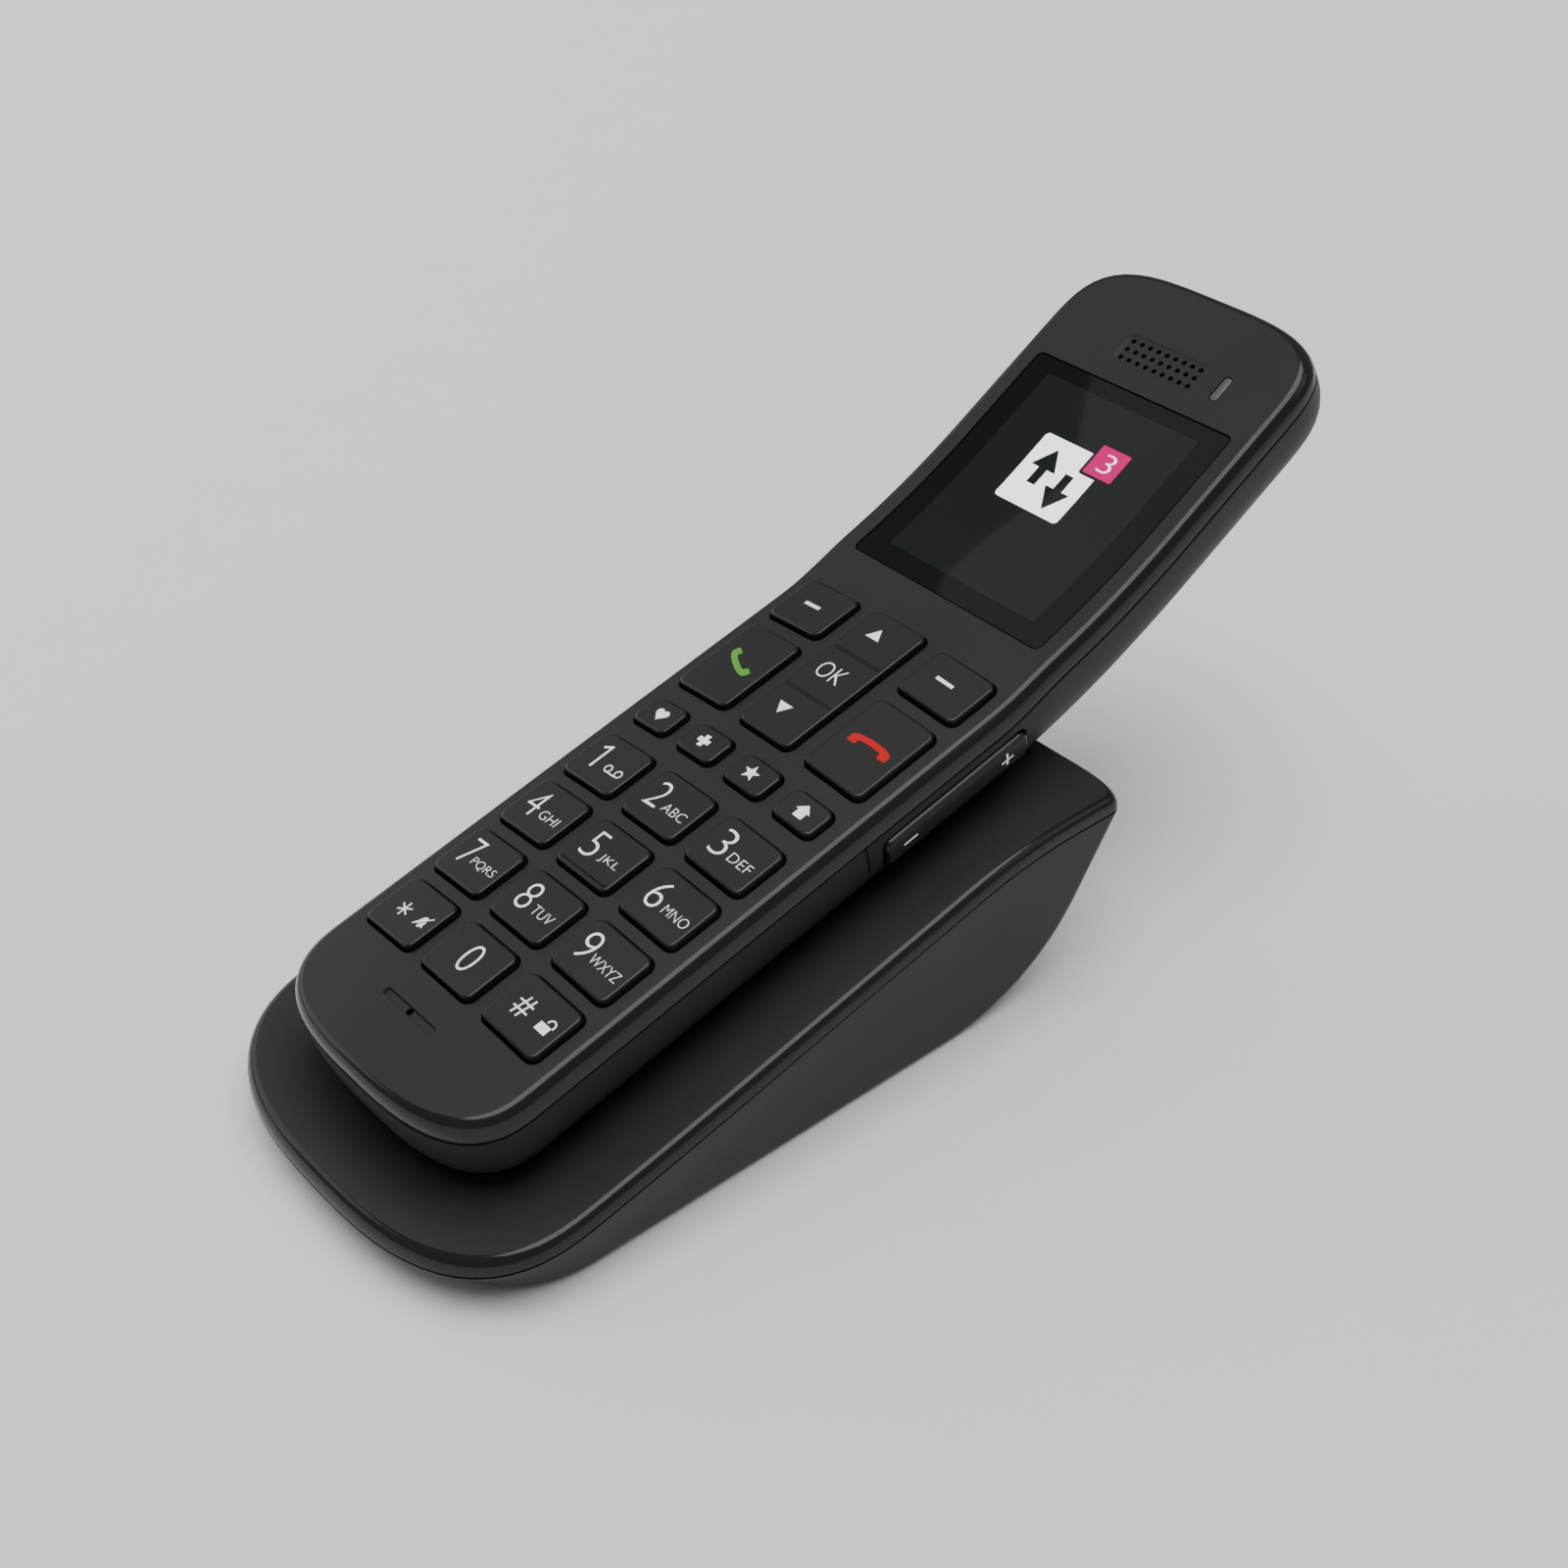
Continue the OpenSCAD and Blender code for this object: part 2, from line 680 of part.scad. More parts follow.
module charge_pads() {
    color(GOLD)
        at_face(0)
            for (side = [-1, 1])
                post(side * pad_x, pad_s, pad_r - 0.02, -handset_back - pad_out, -handset_back + 2.6);
}

module handset_screws() {
    color(STEEL)
        at_face(0)
            for (side = [-1, 1]) {
                post(side * boss_x, boss_s, 1.9, bay_top - bay_plate_t - 1.3, bay_top - bay_plate_t);
                post(side * boss_x, boss_s, screw_hole_r - 0.05, bay_top - bay_plate_t - 0.1, -2.4);
            }
}

// --- base shells ---------------------------------------------------------------------------

// Height of the seam at a distance y behind the base's front: parallel to the handset,
// lifted a little at the front, and level at the rear
function seam_line(y) = seat_z - seam_below_face / cos(rest_tilt) + (y - seat_y) * tan(rest_tilt)
    + front_seam_rise * pow(max(0, 1 - y / front_rise_len), 2);
function seam_z(y) =
    let (t = clamp(0.5 + 0.5 * (rear_seam_h - seam_line(y)) / rear_blend, 0, 1))
    mix(rear_seam_h, seam_line(y), t) - rear_blend * t * (1 - t);
function dish_floor(y) =
    seat_z - (handset_back + dish_gap) / cos(rest_tilt) + (y - seat_y) * tan(rest_tilt);

// Top of the base: the rim's height, sunk towards the floor under the handset by weight w
function top_z(y, w) =
    let (rim = seam_z(y) + rim_h) rim - max(0, rim - dish_floor(y)) * w;

// Half outline of the base at its seam, moved in by inset; y is measured from the front
function base_outline(inset) = half_outline(base_half - inset, inset, base_len - inset,
    [base_half - inset, base_front_round - inset],
    [base_rear_corner - inset / 2, base_rear_round - inset / 2], 16, base_round_pow, base_round_pow);

function rim_ring(inset, dz) = mirrored([
    for (p = base_outline(inset)) [p[0], p[1] + shift_y, seam_z(p[1]) + dz]]);

// A ring on the sunk top, shrunk by f from the rim towards the middle line.
// The channel under the handset opens out at the rear, so there only the way in from the side counts.
function dish_ring(f, inset, dz) = mirrored([
    for (p = base_outline(inset))
        let (y = mix(clamp(p[1], dish_front_mid, dish_rear_mid), p[1], f),
             near = p[1] > dish_rear_mid ? p[0] / (base_half - inset) * f : f)
        [p[0] * f, y + shift_y, top_z(y, smooth((1 - near) / dish_edge)) + dz]]);

DISH_STEPS = [0.94, 0.87, 0.8, 0.73, 0.66, 0.59, 0.52, 0.4, 0.25, 0.1];

pin_x = pad_x;
pin_y = raw_point(0, pad_s, -handset_back)[1] + shift_y;
pin_r = 1;
pin_gap = 0.08;
// The pin's round tip stops just short of the sloping pad
pin_tip_z = raw_point(0, pad_s, -handset_back)[2] - (pad_out + pin_r + pin_gap) / cos(rest_tilt);
base_post_x = 22;
base_post_y = [30, 84];
base_post_r = 3;
base_screw_r = 1.25;
screw_head_r = 2.6;

module base_top_shell() {
    outer = concat(
        [for (i = [len(DISH_STEPS) - 1:-1:0]) dish_ring(DISH_STEPS[i], rim_in, 0)],
        [for (q = [90, 67.5, 45, 22.5, 0]) rim_ring(rim_in * (1 - cos(q)), rim_h * sin(q) + seam_gap / 2)]);
    inner = concat(
        [rim_ring(base_wall, seam_gap / 2), rim_ring(base_wall + 0.4, rim_h - base_wall)],
        [for (f = DISH_STEPS) dish_ring(f * 0.985, base_wall + 0.4, -base_wall)]);
    color(BLACK)
        difference() {
            union() {
                loft(concat(outer, inner));
                for (side = [-1, 1], y = base_post_y)
                    translate([side * base_post_x, y + shift_y, post_foot(y)])
                        cylinder(r = base_post_r, h = dish_floor(y) - post_foot(y) + 0.3, $fn = 48);
            }
            for (side = [-1, 1]) {
                translate([side * pin_x, pin_y, 0])
                    cylinder(r = pin_r + 0.3, h = 60, $fn = 48);
                for (y = base_post_y)
                    translate([side * base_post_x, y + shift_y, 0])
                        cylinder(r = base_screw_r + 0.05, h = dish_floor(y) - 1, $fn = 48);
            }
        }
}
// Lower end of a screw post of the top shell, where it meets the bottom shell's boss
function post_foot(y) = bottom_z + base_wall + 2.4;

// How far a ring of the lower shell lies in from the seam, q from 0 at the seam to 1 at the bottom
function side_inset(q) =
    side_draft * q
    + bottom_round * (1 - sqrt(1 - pow(max(0, q - bottom_round_from) / (1 - bottom_round_from), 2)));
stern_straight = rear_seam_h - bottom_z - stern_radius * (1 - cos(stern_slope));
stern_foot = base_len - stern_straight / tan(stern_slope) - stern_radius * sin(stern_slope);
// Rear end of the lower shell at height z
function stern_y(z) =
    z > rear_seam_h - stern_straight
        ? base_len - (rear_seam_h - z) / tan(stern_slope)
        : stern_foot + sqrt(pow(stern_radius, 2) - pow(bottom_z + stern_radius - z, 2));

function lower_ring(q, wall) =
    let (in = side_inset(q) + wall,
         rear = stern_y(mix(rear_seam_h, bottom_z, q)) - wall * 1.2,
         seam = base_outline(wall),
         low = bottom_z + wall,
         ring = half_outline(base_half - in, 2 * side_inset(q) + wall, rear,
             [base_half - in, base_front_round - in],
             [base_rear_corner + rear_corner_growth * q, base_rear_round + rear_corner_growth * q],
             16, base_round_pow, base_round_pow))
    mirrored([for (i = [0:len(ring) - 1])
        [ring[i][0], ring[i][1] + shift_y,
         mix(seam_z(seam[i][1]) - seam_gap / 2, low, q)]]);

LOWER_STEPS = [0, 0.2, 0.4, 0.6, 0.8, 0.88, 0.94, 0.98, 1];

base_board_z = [10.3, 11.5];
board_y = [58, 107];
board_post_y = [62, 96];
board_post_x = 13;
socket_w = 12;
socket_h = 9;
socket_z = base_board_z[1];
socket_y = [96, 111.4];
socket_slope = 66;
socket_wall = 1.2;
foot_r = 4.5;
foot_x = 22;
foot_y = [20, 74];
foot_t = 1.7;

module base_bottom_shell() {
    inner = [for (i = [len(LOWER_STEPS) - 1:-1:0]) lower_ring(LOWER_STEPS[i], base_wall)];
    outer = [for (q = LOWER_STEPS) lower_ring(q, 0)];
    color(BLACK)
        difference() {
            union() {
                loft(concat(inner, outer));
                for (side = [-1, 1], y = base_post_y)
                    translate([side * base_post_x, y + shift_y, bottom_z + 0.5])
                        cylinder(r = base_post_r + 1.2, h = base_wall + 1.9, $fn = 48);
                for (side = [-1, 1], y = board_post_y)
                    translate([side * board_post_x, y + shift_y, bottom_z + 1.5])
                        cylinder(r = 2, h = base_board_z[0] - bottom_z - 1.5, $fn = 48);
            }
            for (side = [-1, 1]) {
                for (y = foot_y)
                    translate([side * foot_x, y + shift_y, -1])
                        cylinder(r = foot_r, h = foot_t + 1, $fn = 48);
                for (y = base_post_y)
                    translate([side * base_post_x, y + shift_y, -1]) {
                        cylinder(r = base_screw_r + 0.15, h = 10, $fn = 48);
                        cylinder(r = screw_head_r + 0.2, h = bottom_z + 2.5, $fn = 48);
                    }
            }
            translate([-socket_w / 2 - 0.2, socket_y[0] + shift_y, socket_z - 0.2])
                cube([socket_w + 0.4, 40, socket_h + 0.4]);
        }
}

module base_feet() {
    color(RUBBER)
        for (side = [-1, 1], y = foot_y)
            translate([side * foot_x, y + shift_y, 0])
                cylinder(r = foot_r - 0.05, h = foot_t, $fn = 48);
}

module base_screws() {
    color(STEEL)
        for (side = [-1, 1], y = base_post_y)
            translate([side * base_post_x, y + shift_y, bottom_z + 0.2]) {
                cylinder(r = screw_head_r, h = 1.3, $fn = 48);
                cylinder(r = base_screw_r, h = 8, $fn = 48);
            }
}

// --- inside the base -----------------------------------------------------------------------

block_top = pin_tip_z - 3.2;
collar_z = 16.6;
collar_r = 1.8;
bore_r = 2.1;

module base_board() {
    color(BOARD_GREEN)
        translate([0, (board_y[0] + board_y[1]) / 2 + shift_y, base_board_z[0]])
            linear_extrude(base_board_z[1] - base_board_z[0])
                round_rect(34, board_y[1] - board_y[0], 2);
}

module power_socket() {
    color([0.14, 0.14, 0.15])
        difference() {
            translate([-socket_w / 2, shift_y, 0])
                rotate([90, 0, 90])
                    linear_extrude(socket_w)
                        polygon([[socket_y[0], socket_z], [socket_y[1], socket_z],
                            [socket_y[1] + socket_h / tan(socket_slope), socket_z + socket_h],
                            [socket_y[0], socket_z + socket_h]]);
            translate([-socket_w / 2 + socket_wall, socket_y[0] + 2 + shift_y, socket_z + socket_wall])
                cube([socket_w - 2 * socket_wall, 30, socket_h - 2 * socket_wall]);
        }
}

module contact_block() {
    color(KEY_BLACK)
        difference() {
            translate([-pin_x - 4, pin_y - 4, base_board_z[1]])
                cube([2 * pin_x + 8, 8, block_top - base_board_z[1]]);
            for (side = [-1, 1])
                translate([side * pin_x, pin_y, base_board_z[1] - 1]) {
                    cylinder(r = pin_r + 0.1, h = 40, $fn = 48);
                    cylinder(r = bore_r, h = collar_z + 1.1 - base_board_z[1] + 1, $fn = 48);
                }
        }
}

module charge_pin(side) {
    color(GOLD)
        translate([side * pin_x, pin_y, collar_z]) {
            cylinder(r = pin_r, h = pin_tip_z - collar_z, $fn = 48);
            cylinder(r = collar_r, h = 1, $fn = 48);
            translate([0, 0, pin_tip_z - collar_z])
                sphere(r = pin_r, $fn = 48);
        }
}
module charge_pin_left() { charge_pin(-1); }
module charge_pin_right() { charge_pin(1); }

module pin_spring(side) {
    color(STEEL)
        translate([side * pin_x, pin_y, 0])
            coil_spring(1.45, 0.22, base_board_z[1], collar_z - base_board_z[1] - 0.02, 5);
}
module pin_spring_left() { pin_spring(-1); }
module pin_spring_right() { pin_spring(1); }

front_shell();
back_shell();
battery_cover();
battery_bay();
display_lens();
display_module();
display_board();
earpiece_speaker();
earpiece_felt();
light_pipe();
microphone();
ringer_speaker();
key_1();
key_2();
key_3();
key_4();
key_5();
key_6();
key_7();
key_8();
key_9();
key_asterisk();
key_0();
key_hash();
key_heart();
key_plus();
key_star();
key_home();
soft_key_left();
soft_key_right();
call_key();
end_key();
nav_key();
ok_plunger();
volume_rocker();
rocker_switches();
keypad_mat();
dome_switches();
main_board();
battery_cell_left();
battery_cell_right();
battery_springs();
battery_plate();
charge_pads();
handset_screws();
base_top_shell();
base_bottom_shell();
base_board();
power_socket();
contact_block();
charge_pin_left();
charge_pin_right();
pin_spring_left();
pin_spring_right();
base_feet();
base_screws();
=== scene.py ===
"""Looks of the cordless phone lying in its charging base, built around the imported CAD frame.

Handset pieces are drawn in (x, s, h) in millimetres: s runs along the front face and h stands out
of it. bent() then lays them on the bent face. Base pieces are drawn in (x, y, z) in millimetres,
with y measured from the base's front.
"""
import json
import math

import bmesh
import bpy
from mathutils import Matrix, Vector


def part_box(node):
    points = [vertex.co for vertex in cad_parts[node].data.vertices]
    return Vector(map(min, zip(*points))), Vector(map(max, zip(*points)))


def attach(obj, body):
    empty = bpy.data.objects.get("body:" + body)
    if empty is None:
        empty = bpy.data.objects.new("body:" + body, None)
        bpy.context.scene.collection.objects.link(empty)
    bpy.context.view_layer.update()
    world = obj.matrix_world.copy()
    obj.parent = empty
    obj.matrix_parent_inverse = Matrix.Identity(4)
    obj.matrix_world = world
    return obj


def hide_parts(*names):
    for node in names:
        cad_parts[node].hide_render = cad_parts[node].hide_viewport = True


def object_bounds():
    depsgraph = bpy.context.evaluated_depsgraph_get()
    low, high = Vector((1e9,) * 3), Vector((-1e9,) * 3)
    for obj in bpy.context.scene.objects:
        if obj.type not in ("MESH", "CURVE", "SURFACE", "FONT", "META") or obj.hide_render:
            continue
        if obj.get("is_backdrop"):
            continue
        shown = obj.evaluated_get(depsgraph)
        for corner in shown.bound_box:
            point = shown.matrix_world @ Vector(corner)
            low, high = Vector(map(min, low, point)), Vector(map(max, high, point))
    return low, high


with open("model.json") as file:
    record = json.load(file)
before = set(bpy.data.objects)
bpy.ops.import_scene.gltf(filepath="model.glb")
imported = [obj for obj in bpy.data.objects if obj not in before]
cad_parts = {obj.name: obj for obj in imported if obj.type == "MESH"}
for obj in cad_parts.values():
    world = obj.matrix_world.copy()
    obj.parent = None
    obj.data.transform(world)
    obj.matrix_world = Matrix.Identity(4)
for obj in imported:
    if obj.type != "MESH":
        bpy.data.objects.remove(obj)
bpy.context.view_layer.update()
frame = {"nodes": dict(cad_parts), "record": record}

MM = 0.001
# The face's line: a tilted grip, then a bend of radius BEND_R up to the straight earpiece end.
TILT = math.radians(14.5)
BEND = math.radians(16.2)
BEND_R = 140.0
GRIP = 97.2
BEND_END = GRIP + BEND_R * BEND
SEAT_Y, SEAT_Z = 6.5, 24.4
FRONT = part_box("base_top_shell")[0].y / MM

# The handset's outline, its back bowl, its glossy edge and the crown across its face.
HALF_W, LENGTH, SEAM = 23.4, 175.2, 3.4
BACK, BACK_TOP, WALL = 15.2, 14.2, 1.4
BACK_POW, LOW_BOAT, HIGH_BOAT = 3.0, 14.0, 20.0
BACK_FADE_FROM, BACK_FADE_LEN = 105, 30
FACE_POWERS, LOW_ROUND, HIGH_ROUND = (2.75, 3.7), 14.4, 16.9
BEVEL_IN, BEVEL_H, FACE_WALL, GAP = 1.7, 3.1, 1.6, 0.3
CROWN_RISE, CROWN_CURVE, CROWN_FADE_H = 0.5, 0.0031, 12.0
CROWN_FADE_FROM, CROWN_FADE_LEN = 98, 14
KEY_LIFT, KEY_R, KEY_GAP = 0.85, 1.2, 0.3
INK_H = 0.02
COVER_LEN = 71.3

# The base's outline, its seam and rim, the dish in its top and the slant of its sides.
BASE_HALF, BASE_LEN, BASE_WALL, BOTTOM = 33.5, 119.5, 1.8, 0.9
REAR_SEAM, RIM_H, RIM_IN = 30.2, 2.4, 1.4
BASE_POW, BASE_FRONT, BASE_REAR = 2.73, 22.5, (10.4, 3.5)
SEAM_DROP, FRONT_RISE, FRONT_RISE_LEN, REAR_BLEND = 17.5, 1.6, 50, 2.5
DISH_GAP, DISH_EDGE, DISH_MIDS = 0.5, 0.6, (34, 85)
SIDE_DRAFT, FOOT_ROUND, CORNER_GROWTH = 2.6, 0.6, 4.4


# --- mapping -------------------------------------------------------------------------------

def clamp(v, lo, hi):
    return min(max(v, lo), hi)


def mix(a, b, t):
    return a + (b - a) * t


def smooth(t):
    c = clamp(t, 0, 1)
    return c * c * (3 - 2 * c)


def slope(s):
    """The face's angle at s."""
    return TILT + BEND * clamp((s - GRIP) / (BEND_END - GRIP), 0, 1)


def face_point(s):
    """The face's middle line at s, as (y, z)."""
    low, a, top = min(s, GRIP), slope(s), max(0, s - BEND_END)
    y = low * math.cos(TILT) + BEND_R * (math.sin(a) - math.sin(TILT)) + top * math.cos(a)
    z = low * math.sin(TILT) + BEND_R * (math.cos(TILT) - math.cos(a)) + top * math.sin(a)
    return SEAT_Y + y, SEAT_Z + z


def plain(co):
    """Lays (x, s, h) along the bend, without the crown."""
    x, s, h = co
    y, z = face_point(s)
    a = slope(s)
    return Vector((x, y - h * math.sin(a) + FRONT, z + h * math.cos(a))) * MM


def crown_at(x, s):
    """How far the crown lifts the face at (x, s); it fades out towards the display."""
    return (CROWN_RISE - CROWN_CURVE * x * x) * (1 - smooth((s - CROWN_FADE_FROM) / CROWN_FADE_LEN))


def bent(co):
    """Lays (x, s, h) on the bent and crowned face; the crown fades out towards the back."""
    x, s, h = co
    return plain((x, s, h + crown_at(x, s) * clamp(1 + (h + SEAM) / CROWN_FADE_H, 0, 1)))


def on_key(key_x, base):
    """Like bent, for one key: its upper part leans with the crown at its own middle."""
    def to(co):
        x, s, h = co
        lean = CROWN_RISE - CROWN_CURVE * key_x * key_x - 2 * CROWN_CURVE * key_x * (x - key_x)
        y, z = face_point(base)
        y, z = y + (s - base) * math.cos(TILT), z + (s - base) * math.sin(TILT)
        h = h + (lean if h > -1 else 0)
        return Vector((x, y - h * math.sin(TILT) + FRONT, z + h * math.cos(TILT))) * MM
    return to


def placed(co):
    """Lays a base piece's (x, y, z)."""
    return Vector((co[0], co[1] + FRONT, co[2])) * MM


# --- mesh tools ----------------------------------------------------------------------------

def make(name, verts, faces, mats, index=None):
    mesh = bpy.data.meshes.new(name)
    mesh.from_pydata([tuple(v) for v in verts], [], faces)
    for m in mats:
        mesh.materials.append(m)
    if index:
        mesh.polygons.foreach_set("material_index", index)
    bm = bmesh.new()
    bm.from_mesh(mesh)
    bmesh.ops.recalc_face_normals(bm, faces=bm.faces)
    bm.to_mesh(mesh)
    bm.free()
    obj = bpy.data.objects.new(name, mesh)
    bpy.context.scene.collection.objects.link(obj)
    return obj


def rows(obj, s0, s1, step):
    """Cuts the mesh across every step along s, so that it can follow the bend."""
    bm = bmesh.new()
    bm.from_mesh(obj.data)
    at = s0
    while at <= s1:
        bmesh.ops.bisect_plane(bm, geom=bm.verts[:] + bm.edges[:] + bm.faces[:], dist=0.0001,
                               plane_co=(0, at, 0), plane_no=(0, 1, 0))
        at += step
    bm.to_mesh(obj.data)
    bm.free()
    return obj


def finish_mesh(obj, to, angle=32):
    """Lays the mesh in the row frame, and keeps edges sharp between materials and at corners."""
    mesh = obj.data
    for v in mesh.vertices:
        v.co = to(v.co)
    bm = bmesh.new()
    bm.from_mesh(mesh)
    bmesh.ops.remove_doubles(bm, verts=bm.verts, dist=0.002 * MM)
    bmesh.ops.dissolve_degenerate(bm, edges=bm.edges, dist=0.001 * MM)
    limit = math.radians(angle)
    for f in bm.faces:
        f.smooth = True
    for e in bm.edges:
        if len(e.link_faces) == 2:
            a, b = e.link_faces
            if a.material_index != b.material_index or e.calc_face_angle(0) > limit:
                e.smooth = False
    bm.to_mesh(mesh)
    bm.free()
    mesh.update()
    return obj


def half_outline(half, s0, s1, c0, c1, powers, straight, ends=20, flat_high=False):
    """Right half of a closed outline from its low end on x = 0 to its high end on x = 0.

    c0 and c1 are the width and length of the round at each end, and powers say how square it is.
    """
    def end(p, power):
        return math.sin(p) ** (2 / power), math.cos(p) ** (2 / power)

    def turn(t, power):
        k = power / 2
        return math.pi / 2 * t ** k / (t ** k + (1 - t) ** k)

    low = [(half - c0[0] * (1 - a), s0 + c0[1] * (1 - b))
           for a, b in (end(turn(i / ends, powers[0]), powers[0]) for i in range(1, ends))]
    low.append((half, s0 + c0[1]))
    mid = [(half, mix(s0 + c0[1], s1 - c1[1], i / straight)) for i in range(1, straight)]
    high = [(half, s1 - c1[1])]
    high += [(half - c1[0] * (1 - a), s1 - c1[1] * (1 - b))
             for a, b in (end(turn(i / ends, powers[1]), powers[1]) for i in range(ends - 1, 0, -1))]
    if flat_high:
        high.append((half - c1[0], s1))
    return [(0, s0)] + low + mid + high + [(0, s1)]


def ring_of(half, lift):
    """Closed ring from a half outline that begins and ends on x = 0."""
    right = [(x, s, lift(x, s)) for x, s in half]
    left = [(-x, s, h) for x, s, h in right[-2:0:-1]]
    return right + left


def loft(rings, bands, caps):
    """Vertices, faces and material numbers through equal rings, closed by strips across x."""
    n = len(rings[0])
    half = n // 2
    verts = [v for r in rings for v in r]
    faces, index = [], []
    for k in range(len(rings) - 1):
        for i in range(n):
            a, b = k * n + i, k * n + (i + 1) % n
            faces.append((a, a + n, b + n, b))
            index.append(bands[k])
    for cap, base in ((0, 0), (1, (len(rings) - 1) * n)):
        for i in range(half):
            quad = [i, i + 1, (n - i - 1) % n, (n - i) % n]
            quad = list(dict.fromkeys(base + v for v in quad))
            faces.append(tuple(quad if cap == 0 else quad[::-1]))
            index.append(caps[cap])
    return verts, faces, index


def rect(x, s, w, l, r, n=6):
    """A rectangle's outline around (x, s), with round corners."""
    pts = []
    for cx, cs, a0 in ((1, 1, 0), (-1, 1, 90), (-1, -1, 180), (1, -1, 270)):
        for i in range(n + 1):
            a = math.radians(a0 + 90 * i / n)
            pts.append((x + cx * (w / 2 - r) + r * math.cos(a), s + cs * (l / 2 - r) + r * math.sin(a)))
    return pts


def circle(x, s, r, n=20):
    angles = [2 * math.pi * i / n for i in range(n)]
    return [(x + r * math.cos(a), s + r * math.sin(a)) for a in angles]


def stack(levels, sides=0, top=0, bottom=0):
    """A closed solid through [(outline, h), ...] from low to high, with flat ends."""
    n = len(levels[0][0])
    verts = [(x, s, h) for pts, h in levels for x, s in pts]
    faces, index = [], []
    for k in range(len(levels) - 1):
        for i in range(n):
            a, b = k * n + i, k * n + (i + 1) % n
            faces.append((a, b, b + n, a + n))
            index.append(sides)
    last = (len(levels) - 1) * n
    faces += [tuple(range(n - 1, -1, -1)), tuple(range(last, last + n))]
    index += [bottom, top]
    return verts, faces, index


def slab(outline, h0, h1, mat=0):
    """A solid of one outline between two heights."""
    return stack([(outline, h0), (outline, h1)], mat, mat, mat)


def lathe(x, s, profile, n=32, mat=0):
    """A round solid around an upright axis, through (radius, height) points from low to high."""
    return stack([(circle(x, s, r, n), h) for r, h in profile], mat, mat, mat)


def box(x0, x1, y0, y1, z0, z1, mat=0):
    return slab([(x0, y0), (x1, y0), (x1, y1), (x0, y1)], z0, z1, mat)


def turned(solid, swap):
    """The same solid with its coordinates reordered or moved by a function."""
    verts, faces, index = solid
    return [swap(*v) for v in verts], faces, index


def join(*parts):
    verts, faces, index = [], [], []
    for v, f, i in parts:
        faces += [tuple(k + len(verts) for k in face) for face in f]
        index += i
        verts += v
    return verts, faces, index


def cut(obj, solid, operation="DIFFERENCE"):
    """Cuts a solid out of a mesh, or joins or intersects the two."""
    tool = make("cutter", *solid[:2], list(obj.data.materials), solid[2])
    mod = obj.modifiers.new("cut", "BOOLEAN")
    mod.operation = operation
    mod.object = tool
    mod.solver = "EXACT"
    bpy.context.view_layer.update()
    done = bpy.data.meshes.new_from_object(obj.evaluated_get(bpy.context.evaluated_depsgraph_get()))
    obj.modifiers.clear()
    obj.data = done
    bpy.data.objects.remove(tool)
    return obj


THIN_INK = -0.019


def lettering(text, x, s, width, height, h0=0.0, h1=INK_H, mat=0):
    """Text as a thin solid whose ink fills width by height, with its lower left corner at (x, s)."""
    curve = bpy.data.curves.new("ink", "FONT")
    curve.body = text
    curve.resolution_u = 5
    curve.extrude = 0.5
    curve.offset = THIN_INK
    obj = bpy.data.objects.new("ink", curve)
    bpy.context.scene.collection.objects.link(obj)
    bpy.context.view_layer.update()
    mesh = bpy.data.meshes.new_from_object(obj.evaluated_get(bpy.context.evaluated_depsgraph_get()))
    bpy.data.objects.remove(obj)
    bm = bmesh.new()
    bm.from_mesh(mesh)
    bmesh.ops.remove_doubles(bm, verts=bm.verts, dist=0.0005)
    bm.verts.index_update()
    pts = [v.co.copy() for v in bm.verts]
    faces = [tuple(v.index for v in f.verts) for f in bm.faces]
    bm.free()
    bpy.data.meshes.remove(mesh)
    x0, x1 = min(p.x for p in pts), max(p.x for p in pts)
    y0, y1 = min(p.y for p in pts), max(p.y for p in pts)
    verts = [(x + (p.x - x0) / (x1 - x0) * width, s + (p.y - y0) / (y1 - y0) * height,
              h1 if p.z > 0 else h0) for p in pts]
    return verts, faces, [mat] * len(faces)


def shape(pts, h0=0.0, h1=INK_H, mat=0):
    """A thin solid on any simple outline."""
    area = sum(a[0] * b[1] - b[0] * a[1] for a, b in zip(pts, pts[1:] + pts[:1]))
    return slab(pts if area > 0 else pts[::-1], h0, h1, mat)


def bar(a, b, width, h0=0.0, h1=INK_H, mat=0):
    """A straight stroke from a to b."""
    dx, dy = b[0] - a[0], b[1] - a[1]
    k = width / 2 / math.hypot(dx, dy)
    nx, ny = -dy * k, dx * k
    corners = [(a[0] - nx, a[1] - ny), (b[0] - nx, b[1] - ny), (b[0] + nx, b[1] + ny), (a[0] + nx, a[1] + ny)]
    return shape(corners, h0, h1, mat)


def arc(cx, cy, r, a0, a1, width, h0=0.0, h1=INK_H, mat=0, n=18):
    """A curved stroke between two angles, or a whole ring."""
    angles = [math.radians(mix(a0, a1, i / n)) for i in range(n + 1)]
    outer = [(cx + (r + width / 2) * math.cos(a), cy + (r + width / 2) * math.sin(a)) for a in angles]
    inner = [(cx + (r - width / 2) * math.cos(a), cy + (r - width / 2) * math.sin(a)) for a in angles]
    if abs(a1 - a0) >= 360:
        outer, inner = outer[:-1], inner[:-1]
        k = len(outer)
        verts = [(x, y, h) for pts in (outer, inner) for h in (h0, h1) for x, y in pts]
        faces = []
        for i in range(k):
            j = (i + 1) % k
            faces += [(i, j, k + j, k + i), (2 * k + j, 2 * k + i, 3 * k + i, 3 * k + j),
                      (k + i, k + j, 3 * k + j, 3 * k + i), (j, i, 2 * k + i, 2 * k + j)]
        return verts, faces, [mat] * len(faces)
    return shape(outer + inner[::-1], h0, h1, mat)


def moved(solid, x, s, h=0.0):
    return turned(solid, lambda a, b, c: (a + x, b + s, c + h))


